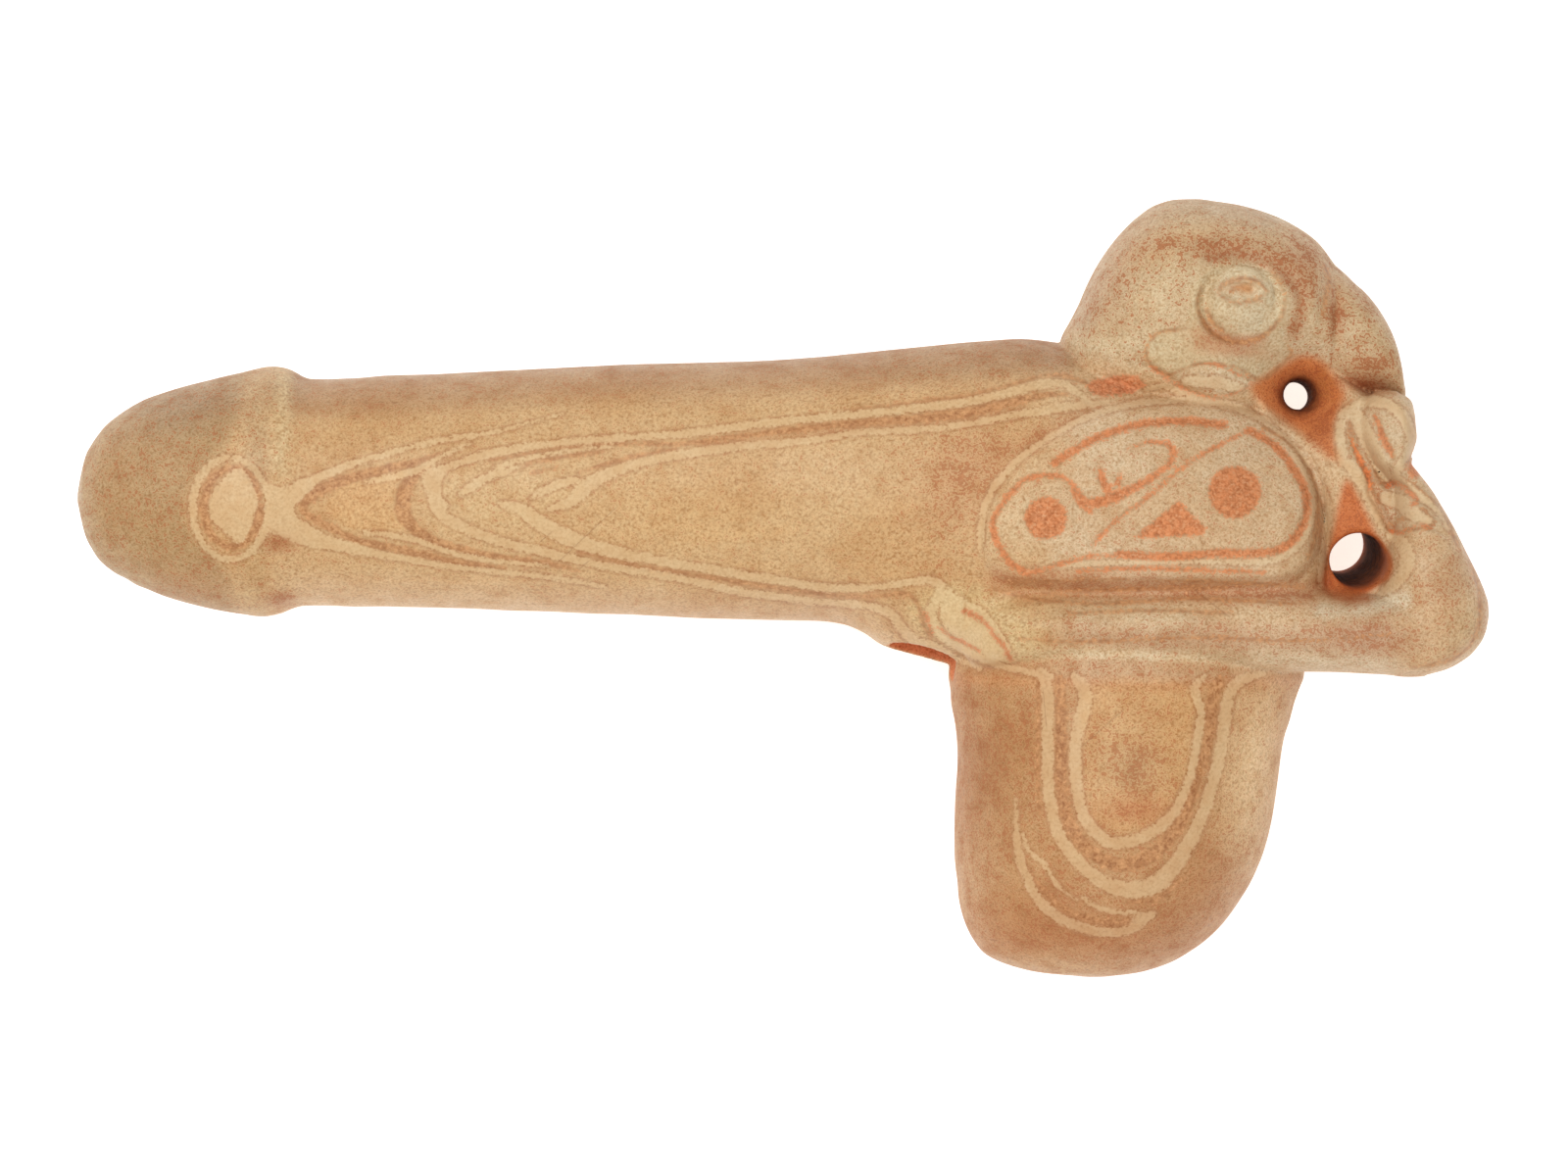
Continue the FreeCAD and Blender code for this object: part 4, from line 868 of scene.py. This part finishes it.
# values carried by every point of the skin
core_only = evaluate(*pts.T)[0]
depth = np.clip(-core_only, 0, None)                     # mm below the uncut skin: inside a hole or pit
base_col = np.stack([Q.at(tone[..., c], px, py) for c in range(3)], 1)
stipple = Q.at(stip, px, py)
c_cream, c_brown, c_rust = P.at(cream, px, py), P.at(brown, px, py), P.at(rust, px, py)
ball_here = ball < 0.25
c_cream = np.where(ball_here, -16, c_cream)


def lay(mask, rgb):
    global base_col
    base_col = base_col * (1 - mask[:, None]) + srgb(*rgb) * mask[:, None]


# painted shade in the holes and pits: darker with depth below the skin, and in a halo round the suspension hole
hole_shade = np.zeros(N)
# suspension hole: orange funnel going to dark brown in the throat, the dark being painted shade: a halo round the hole
# and darkening down its throat
halo = np.hypot((px - 1326) / 1.08, py - 405)
in_cord = (cord_r < 11) & (aw < 17.5) & (np.hypot(px - 1322, py - 405) < 60)
hole_shade = np.maximum(hole_shade, np.where(in_cord, ramp(27 - halo, 0, 15) * 0.75, 0))
hole_shade = np.maximum(hole_shade, np.where(in_cord & (aw < 9.0), ramp(9.0 - aw, 0, 5.0), 0))
# gap in the arms: painted shade, dark right through, brightening to orange at the rim
in_gap = gap_r < 6.2
hole_shade = np.maximum(hole_shade, np.where(in_gap, ramp(depth, 0.5, 7.0), 0))
lay(np.where(in_gap, ramp(depth, 0.15, 0.8) * 0.85, 0), (190, 100, 48))
# blow hole, with painted shade darkening into it and round its mouth, and window
hole_shade = np.maximum(hole_shade, np.where((x < 150) & (blow_r < 3.2), ramp(depth, 0.3, 1.8), 0))
hole_shade = np.maximum(hole_shade, np.where(x < 92, ramp(3.3 - blow_r, 0, 1.1) * 0.75, 0))
in_win = win > -1.4
lay(np.where(in_win, ramp(depth, 0.25, 0.55), 0), (224, 146, 100))
c_cream = np.where(in_win & (depth > 0.3), -16, c_cream)
c_brown = np.where(in_win & (depth > 0.3), -16, c_brown)
c_cream = np.where(hole_shade > 0.3, -16, c_cream)
raw = np.clip(np.maximum(np.where(in_win, ramp(depth, 0.2, 0.6), 0), hole_shade), 0, 1)
attrs = {"cream": c_cream, "brown": c_brown, "rust": c_rust, "stipple": stipple, "hole_shade": hole_shade, "raw": raw}
plan = np.stack([px, py, pts[:, 2]], 1)


def shell_piece(name, faces, thickness):
    """A closed clay piece: its part of the outer skin, an inner skin and the rim between them."""
    ids, q = np.unique(faces, return_inverse=True)
    q = q.reshape(faces.shape)
    outer = pts[ids]
    n = len(ids)
    e = np.vstack([q[:, [0, 1]], q[:, [1, 2]], q[:, [2, 3]], q[:, [3, 0]]])
    inner = outer - normal[ids] * thickness
    deg = np.bincount(np.r_[e[:, 0], e[:, 1]], minlength=n)[:, None]
    for _ in range(8):                                   # eases the inner skin where it would fold
        s = np.zeros((n, 3))
        np.add.at(s, e[:, 0], inner[e[:, 1]])
        np.add.at(s, e[:, 1], inner[e[:, 0]])
        inner = 0.5 * inner + 0.5 * s / deg
    key = np.minimum(e[:, 0], e[:, 1]) * n + np.maximum(e[:, 0], e[:, 1])
    uniq, first, count = np.unique(key, return_index=True, return_counts=True)
    rim = e[first[count == 1]]
    walls = np.stack([rim[:, 1], rim[:, 0], rim[:, 0] + n, rim[:, 1] + n], 1)
    allq = np.vstack([q, q[:, ::-1] + n, walls])
    co = to_row(np.vstack([outer, inner]))
    me = bpy.data.meshes.new(name)
    me.vertices.add(len(co))
    me.vertices.foreach_set("co", co.astype(np.float32).ravel())
    me.loops.add(allq.size)
    me.loops.foreach_set("vertex_index", allq.astype(np.int32).ravel())
    me.polygons.add(len(allq))
    me.polygons.foreach_set("loop_start", np.arange(0, allq.size, 4, dtype=np.int32))
    me.polygons.foreach_set("loop_total", np.full(len(allq), 4, np.int32))
    me.update(calc_edges=True)
    me.validate()
    smooth = np.ones(len(me.polygons), bool)
    smooth[2 * len(q):] = False
    me.polygons.foreach_set("use_smooth", smooth)
    for k, vals in attrs.items():
        at = me.attributes.new(k, "FLOAT", "POINT")
        at.data.foreach_set("value", np.r_[vals[ids], vals[ids]].astype(np.float32))
    pl = me.attributes.new("plan", "FLOAT_VECTOR", "POINT")
    pl.data.foreach_set("vector", np.vstack([plan[ids], plan[ids]]).astype(np.float32).ravel())
    col = me.attributes.new("clay", "FLOAT_COLOR", "POINT")
    c = np.ones((2 * n, 4), np.float32)
    c[:n, :3] = base_col[ids]
    c[n:, :3] = base_col[ids]
    col.data.foreach_set("color", c.ravel())
    vn = normal[ids] @ rot.T
    me.normals_split_custom_set_from_vertices(np.vstack([vn, -vn]).tolist())
    ob = bpy.data.objects.new(name, me)
    bpy.context.scene.collection.objects.link(ob)
    return ob


record = frame["record"]
slot_of = {s["node"]: s["material_slot"] for s in record["subparts"]}


class Nodes:
    """Small helper for building a node tree."""

    def __init__(self, name):
        self.m = bpy.data.materials.new(name)
        self.m.use_nodes = True
        self.t = self.m.node_tree
        self.shader = self.t.nodes["Principled BSDF"]

    def link(self, a, b):
        self.t.links.new(a, b)

    def feed(self, sock, v):
        if isinstance(v, (int, float)):
            sock.default_value = v
        elif isinstance(v, (tuple, list, np.ndarray)):
            sock.default_value = tuple(float(q) for q in v)
        else:
            self.link(v, sock)

    def math(self, op, a, b=0.0, c=0.0, clamp=False):
        n = self.t.nodes.new("ShaderNodeMath")
        n.operation, n.use_clamp = op, clamp
        for i, v in enumerate((a, b, c)):
            self.feed(n.inputs[i], v)
        return n.outputs[0]

    def ramp(self, v, lo, hi, out_lo=0.0, out_hi=1.0):
        n = self.t.nodes.new("ShaderNodeMapRange")
        n.interpolation_type = "SMOOTHSTEP"
        for i, q in enumerate((v, lo, hi, out_lo, out_hi)):
            self.feed(n.inputs[i], q)
        return n.outputs[0]

    def lin(self, v, lo, hi, out_lo=0.0, out_hi=1.0):
        n = self.t.nodes.new("ShaderNodeMapRange")
        for i, q in enumerate((v, lo, hi, out_lo, out_hi)):
            self.feed(n.inputs[i], q)
        return n.outputs[0]

    def mix(self, f, a, b, kind="MIX"):
        n = self.t.nodes.new("ShaderNodeMix")
        n.data_type, n.blend_type = "RGBA", kind
        self.feed(n.inputs[0], f)
        for sock, v in ((n.inputs[6], a), (n.inputs[7], b)):
            self.feed(sock, tuple(v) + (1.0,) if isinstance(v, (tuple, np.ndarray)) and len(v) == 3 else v)
        return n.outputs[2]

    def noise(self, co, scale, detail=2.0, rough=0.6, stretch=None):
        n = self.t.nodes.new("ShaderNodeTexNoise")
        n.inputs["Scale"].default_value, n.inputs["Detail"].default_value = scale, detail
        n.inputs["Roughness"].default_value = rough
        if stretch:
            mp = self.t.nodes.new("ShaderNodeMapping")
            mp.inputs["Scale"].default_value = stretch
            self.link(co, mp.inputs["Vector"])
            co = mp.outputs[0]
        self.link(co, n.inputs["Vector"])
        return n.outputs[0]

    def attr(self, name, out="Fac"):
        n = self.t.nodes.new("ShaderNodeAttribute")
        n.attribute_name = name
        return n.outputs[out]

    def place(self):
        return self.t.nodes.new("ShaderNodeTexCoord").outputs["Object"]


def lin3(r, g, b):
    return tuple(float(q) for q in srgb(r, g, b))


# fine straight scratches on the near flank: from, to, half width (side-view units)
SCRATCHES = {
    "barrel_clay": [((566, 577), (632, 515), 0.5), ((590, 582), (604, 570), 0.6), ((548, 556), (566, 540), 0.4)],
    "body_clay": [((1100, 765), (1149, 722), 0.8), ((1064, 700), (1068, 745), 0.5), ((1214, 598), (1258, 632), 0.9)],
}


def scratch_mask(k, plan_v, a, b, hw):
    a, b = np.array(a, float), np.array(b, float)
    L = np.linalg.norm(b - a)
    t, n = (b - a) / L, np.array([-(b - a)[1], (b - a)[0]]) / L

    def dot(v):
        d = k.t.nodes.new("ShaderNodeVectorMath")
        d.operation = "DOT_PRODUCT"
        k.link(plan_v, d.inputs[0])
        d.inputs[1].default_value = (v[0], v[1], 0.0)
        return d.outputs["Value"]
    across = k.math("ABSOLUTE", k.math("SUBTRACT", dot(n), float(a @ n)))
    along = k.math("SUBTRACT", dot(t), float(a @ t))
    m = k.ramp(across, hw * 1.6, hw * 0.4)
    ends = k.math("MULTIPLY", k.ramp(along, 0.0, 6.0), k.ramp(along, L, L - 6.0))
    sep = k.t.nodes.new("ShaderNodeSeparateXYZ")
    k.link(plan_v, sep.inputs[0])
    near = k.math("GREATER_THAN", sep.outputs[2], 0.0)
    return k.math("MULTIPLY", k.math("MULTIPLY", m, ends), near)


def clay_material(name, slot, grain=1.0, gloss=0.52, cream_mix=1.0, rust_rgb=(190, 118, 76), speck=1.0):
    """Marbled, burnished clay: bands of cream, brown and rust clay, rust grains, fine sand, painted shade in the holes.
    """
    k = Nodes(name)
    co = k.place()
    clay = k.attr("clay", "Color")
    g1 = k.noise(co, 2250, 1.5, 0.6)
    g2 = k.noise(co, 1150, 2.0, 0.6)
    mid = k.noise(co, 330, 3.0, 0.6)
    big = k.noise(co, 62, 3.0, 0.55)
    edge = k.noise(co, 620, 3.0, 0.62)
    streak = k.noise(co, 300, 2.0, 0.55, (0.16, 1.0, 1.0))
    # mottling of the body
    col = k.mix(k.ramp(big, 0.40, 0.62), clay, k.mix(1.0, clay, (0.93, 0.865, 0.79), "MULTIPLY"))
    col = k.mix(k.ramp(mid, 0.52, 0.72, 0.0, 0.5), col, k.mix(1.0, col, (0.90, 0.80, 0.70), "MULTIPLY"))
    col = k.mix(k.ramp(streak, 0.55, 0.75, 0.0, 0.35), col, k.mix(1.0, col, (1.10, 1.08, 1.03), "MULTIPLY"))
    # rust coloured grains
    st = k.attr("stipple")
    thr = k.lin(st, 0.0, 1.0, 0.64, 0.455)
    grains = k.math("SUBTRACT", k.math("ADD", k.math("MULTIPLY", g1, 0.72), k.math("MULTIPLY", g2, 0.28)), thr)
    grains = k.math("ADD", grains, k.lin(mid, 0.35, 0.65, -0.035, 0.035))
    gm = k.ramp(grains, -0.012, 0.03, 0.0, 0.88 * speck)
    col = k.mix(gm, col, k.mix(0.55, k.mix(1.0, col, (0.66, 0.44, 0.32), "MULTIPLY"), lin3(158, 92, 56)))
    # brown bands, ragged by the grain
    sd = k.attr("brown")
    wob = k.lin(edge, 0.0, 1.0, -3.0, 3.0)
    rag = k.lin(g1, 0.0, 1.0, -5.0, 5.0)
    sb = k.math("ADD", k.math("ADD", sd, wob), rag)
    bm = k.ramp(sb, -1.6, 1.8, 0.0, 0.74)
    col = k.mix(bm, col, k.mix(k.ramp(g2, 0.35, 0.65), lin3(164, 105, 62), lin3(195, 142, 94)))
    # cream bands: soft edge with a broken, grainy darker seam
    sc = k.math("ADD", k.math("ADD", k.attr("cream"), wob), k.lin(g1, 0.0, 1.0, -2.6, 2.6))
    line = k.math("MULTIPLY", k.ramp(sc, -3.6, -1.2), k.ramp(sc, 1.4, -0.8))
    line = k.math("MULTIPLY", line, k.ramp(k.math("ADD", k.math("MULTIPLY", mid, 0.6), k.math("MULTIPLY", g2, 0.4)), 0.38, 0.62, 0.12, 0.62))
    col = k.mix(line, col, lin3(166, 114, 74))
    cm = k.ramp(sc, -1.3, 1.6, 0.0, 0.80 * cream_mix)
    cream_c = k.mix(k.ramp(mid, 0.35, 0.65), lin3(211, 184, 142), lin3(204, 171, 127))
    cream_c = k.mix(0.5, cream_c, k.mix(1.0, clay, (1.11, 1.10, 1.08), "MULTIPLY"))
    col = k.mix(cm, col, cream_c)
    # rust bands: red clay left unburnished in the recesses, broken up by cream grains
    sr = k.math("ADD", k.math("ADD", k.attr("rust"), wob), k.lin(g1, 0.0, 1.0, -6.0, 6.0))
    rm = k.ramp(sr, -1.6, 2.2, 0.0, 0.92)
    rm = k.math("MULTIPLY", rm, k.ramp(g1, 0.68, 0.56, 0.70, 1.0))
    rust_c = k.mix(k.ramp(g2, 0.34, 0.66), lin3(*rust_rgb), k.mix(1.0, lin3(*rust_rgb), (1.16, 1.16, 1.18), "MULTIPLY"))
    col = k.mix(rm, col, rust_c)
    # sand grain over everything, the dark grains a little redder
    flat = col
    comb = k.t.nodes.new("ShaderNodeCombineColor")
    for i, amp in enumerate((0.30, 0.46, 0.60)):
        val = k.math("ADD", k.lin(g1, 0.25, 0.75, 1 - amp * grain, 1 + amp * grain), k.lin(g2, 0.25, 0.75, -0.10 * grain, 0.10 * grain))
        k.link(val, comb.inputs[i])
    col = k.mix(k.lin(cm, 0.0, 0.8, 1.0, 0.42), flat, k.mix(1.0, col, comb.outputs[0], "MULTIPLY"))
    # painted shade in the holes and pits
    so = k.attr("hole_shade")
    hole_shade_mask = k.ramp(k.math("ADD", so, k.lin(mid, 0.3, 0.7, -0.10, 0.10)), 0.05, 0.95)
    col = k.mix(hole_shade_mask, col, k.mix(k.ramp(g2, 0.35, 0.7), lin3(96, 46, 20), lin3(138, 72, 36)))
    marks = None
    if slot in SCRATCHES:
        plan_v = k.attr("plan", "Vector")
        for a, b, hw in SCRATCHES[slot]:
            sm1 = scratch_mask(k, plan_v, a, b, hw)
            marks = sm1 if marks is None else k.math("MAXIMUM", marks, sm1)
        col = k.mix(k.math("MULTIPLY", marks, 0.30), col, lin3(146, 98, 62))
    k.link(col, k.shader.inputs["Base Color"])
    # polish: burnished skin, dull in recesses and grains
    rough = k.lin(mid, 0.3, 0.7, gloss - 0.07, gloss + 0.08)
    rough = k.math("ADD", rough, k.math("MULTIPLY", k.math("MAXIMUM", rm, k.attr("raw")), 0.22))
    rough = k.math("ADD", rough, k.math("MULTIPLY", gm, 0.12), 0, True)
    k.link(rough, k.shader.inputs["Roughness"])
    k.shader.inputs["IOR"].default_value = 1.45
    k.shader.inputs["Specular IOR Level"].default_value = 0.32
    # relief of the skin
    h = k.math("MULTIPLY", g1, 0.35)
    h = k.math("ADD", h, k.math("MULTIPLY", g2, 0.4))
    h = k.math("ADD", h, k.math("MULTIPLY", streak, 0.5))
    h = k.math("ADD", h, k.math("MULTIPLY", mid, 0.5))
    h = k.math("SUBTRACT", h, k.math("MULTIPLY", line, 0.2))
    h = k.math("SUBTRACT", h, k.math("MULTIPLY", rm, 0.5))
    if marks is not None:
        h = k.math("SUBTRACT", h, k.math("MULTIPLY", marks, 0.5))
    bump = k.t.nodes.new("ShaderNodeBump")
    bump.inputs["Strength"].default_value = 0.55
    bump.inputs["Distance"].default_value = 0.00011
    k.link(h, bump.inputs["Height"])
    k.link(bump.outputs[0], k.shader.inputs["Normal"])
    return k.m


def plain_clay(name, rgb, dark, seed):
    """Unburnished inner clay of the CAD pieces: tool drag, grains and dark mottling, from object place alone."""
    k = Nodes(name)
    co = k.place()
    g1 = k.noise(co, 2400 + seed, 2.0, 0.65)
    g2 = k.noise(co, 900 + seed, 3.0, 0.6)
    big = k.noise(co, 140 + seed, 3.0, 0.6)
    drag = k.noise(co, 420 + seed, 2.0, 0.5, (0.15, 1.0, 1.0))
    col = k.mix(k.ramp(big, 0.38, 0.64), lin3(*rgb), lin3(*dark))
    col = k.mix(k.ramp(g1, 0.56, 0.68, 0.0, 0.55), col, lin3(140, 82, 50))
    col = k.mix(k.ramp(g2, 0.6, 0.75, 0.0, 0.4), col, lin3(214, 182, 140))
    k.link(col, k.shader.inputs["Base Color"])
    k.link(k.lin(g2, 0.3, 0.7, 0.72, 0.9), k.shader.inputs["Roughness"])
    k.shader.inputs["Specular IOR Level"].default_value = 0.25
    bump = k.t.nodes.new("ShaderNodeBump")
    bump.inputs["Strength"].default_value = 0.6
    bump.inputs["Distance"].default_value = 0.00018
    k.link(k.math("ADD", k.math("MULTIPLY", g1, 0.4), k.math("ADD", drag, k.math("MULTIPLY", g2, 0.6))), bump.inputs["Height"])
    k.link(bump.outputs[0], k.shader.inputs["Normal"])
    return k.m


mats = {
    "nose_clay": clay_material("clay_nose", "nose_clay", 1.0, 0.50, 0.95, speck=1.0),
    "barrel_clay": clay_material("clay_barrel", "barrel_clay", 0.85, 0.48, 1.0, speck=0.8),
    "body_clay": clay_material("clay_body", "body_clay", 1.0, 0.52, 0.97, speck=0.95),
    "head_clay": clay_material("clay_head", "head_clay", 1.0, 0.55, 0.9, (196, 124, 80), speck=1.1),
    "cream_clay": clay_material("clay_cream", "cream_clay", 0.8, 0.56, 1.0, (192, 122, 80), speck=0.8),
    "ornament_clay": clay_material("clay_ornament", "ornament_clay", 0.95, 0.56, 0.85, (194, 120, 74), speck=0.85),
    "red_clay": clay_material("clay_red", "red_clay", 0.95, 0.66, 0.9, (198, 112, 62), speck=1.0),
    "inner_clay": plain_clay("clay_inner", (184, 140, 100), (166, 98, 60), 0),
}
thick = {"nose_cap": 3.0, "barrel_shell": 3.0, "torso_shell": 3.0, "pod_shell": 3.0, "head_shell": 3.0, "face_block": 2.0,
         "neck_web": 1.2, "upper_arm": 2.0, "forearm": 2.0, "hand": 1.2, "wrist_band": 1.2, "eye_pellet": 1.5,
         "cheek_plate": 1.0, "shoulder_plate": 1.5}
WHOLE = {"nose_cap", "face_block", "neck_web"}           # one piece across the mid-plane
for li, base in enumerate(NAMES):
    for sd, tag in ((True, "near"), (False, "far")):
        if base in WHOLE:
            if not sd:
                continue
            mask = face_label == li
            node = base
        else:
            mask = (face_label == li) & (side == sd)
            node = base + "_" + tag
        if not mask.any():
            print("no faces for", node)
            continue
        ob = shell_piece("clay_" + node, quads[mask], thick[base])
        ob.data.materials.append(mats[slot_of[node]])
        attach(ob, "root")
        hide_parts(node)
        print(node, mask.sum())
for node in ("fipple_block", "labium"):
    o = frame["nodes"][node]
    o.data.materials.clear()
    o.data.materials.append(mats[slot_of[node]])

# ------------------------------------------------------------------ table, light and camera
bpy.ops.mesh.primitive_plane_add(size=4.0, location=(0, 0, 0))
floor = bpy.context.object
floor.name = "floor"
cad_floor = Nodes("floor_paper")
fc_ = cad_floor.place()
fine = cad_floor.noise(fc_, 900, 3.0, 0.6)
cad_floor.link(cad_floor.mix(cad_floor.ramp(fine, 0.3, 0.7), (0.925, 0.925, 0.92), (0.945, 0.945, 0.945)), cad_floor.shader.inputs["Base Color"])
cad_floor.shader.inputs["Roughness"].default_value = 0.85
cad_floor.shader.inputs["Specular IOR Level"].default_value = 0.1
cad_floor.shader.inputs["Emission Color"].default_value = (1, 1, 1, 1)
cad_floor.shader.inputs["Emission Strength"].default_value = 0.62
floor.data.materials.append(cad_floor.m)

world = bpy.data.worlds.new("studio")
bpy.context.scene.world = world
world.use_nodes = True
world.node_tree.nodes["Background"].inputs["Color"].default_value = (1, 0.995, 0.985, 1)
world.node_tree.nodes["Background"].inputs["Strength"].default_value = 0.47
bpy.context.scene.view_settings.view_transform = "Standard"


def area(name, loc, target, size, power):
    L = bpy.data.lights.new(name, "AREA")
    L.shape = "RECTANGLE"
    L.size, L.size_y, L.energy = size[0], size[1], power
    o = bpy.data.objects.new(name, L)
    bpy.context.scene.collection.objects.link(o)
    from mathutils import Vector
    o.location = loc
    o.rotation_euler = (Vector(target) - Vector(loc)).to_track_quat("-Z", "Y").to_euler()
    return o


area("key", (-0.32, 0.22, 0.85), (0.02, 0, 0.02), (0.5, 0.4), 4.6)
area("fill", (0.35, -0.55, 0.8), (0, 0, 0.02), (0.7, 0.7), 2.4)

cam_data = bpy.data.cameras.new("camera")
cam = bpy.data.objects.new("camera", cam_data)
bpy.context.scene.collection.objects.link(cam)
from mathutils import Matrix
eye_pos = to_row(np.array([[0.0, 0.0, VIEW_D]]))[0]
m = Matrix.Identity(4)
for i in range(3):
    for j in range(3):
        m[i][j] = rot[i, j]
    m[i][3] = eye_pos[i]
cam.matrix_world = m
cam_data.sensor_width = 36.0
cam_data.lens = 36.0 * VIEW_D / (1600 * G)
cam_data.clip_start, cam_data.clip_end = 0.01, 20.0
bpy.context.scene.camera = cam
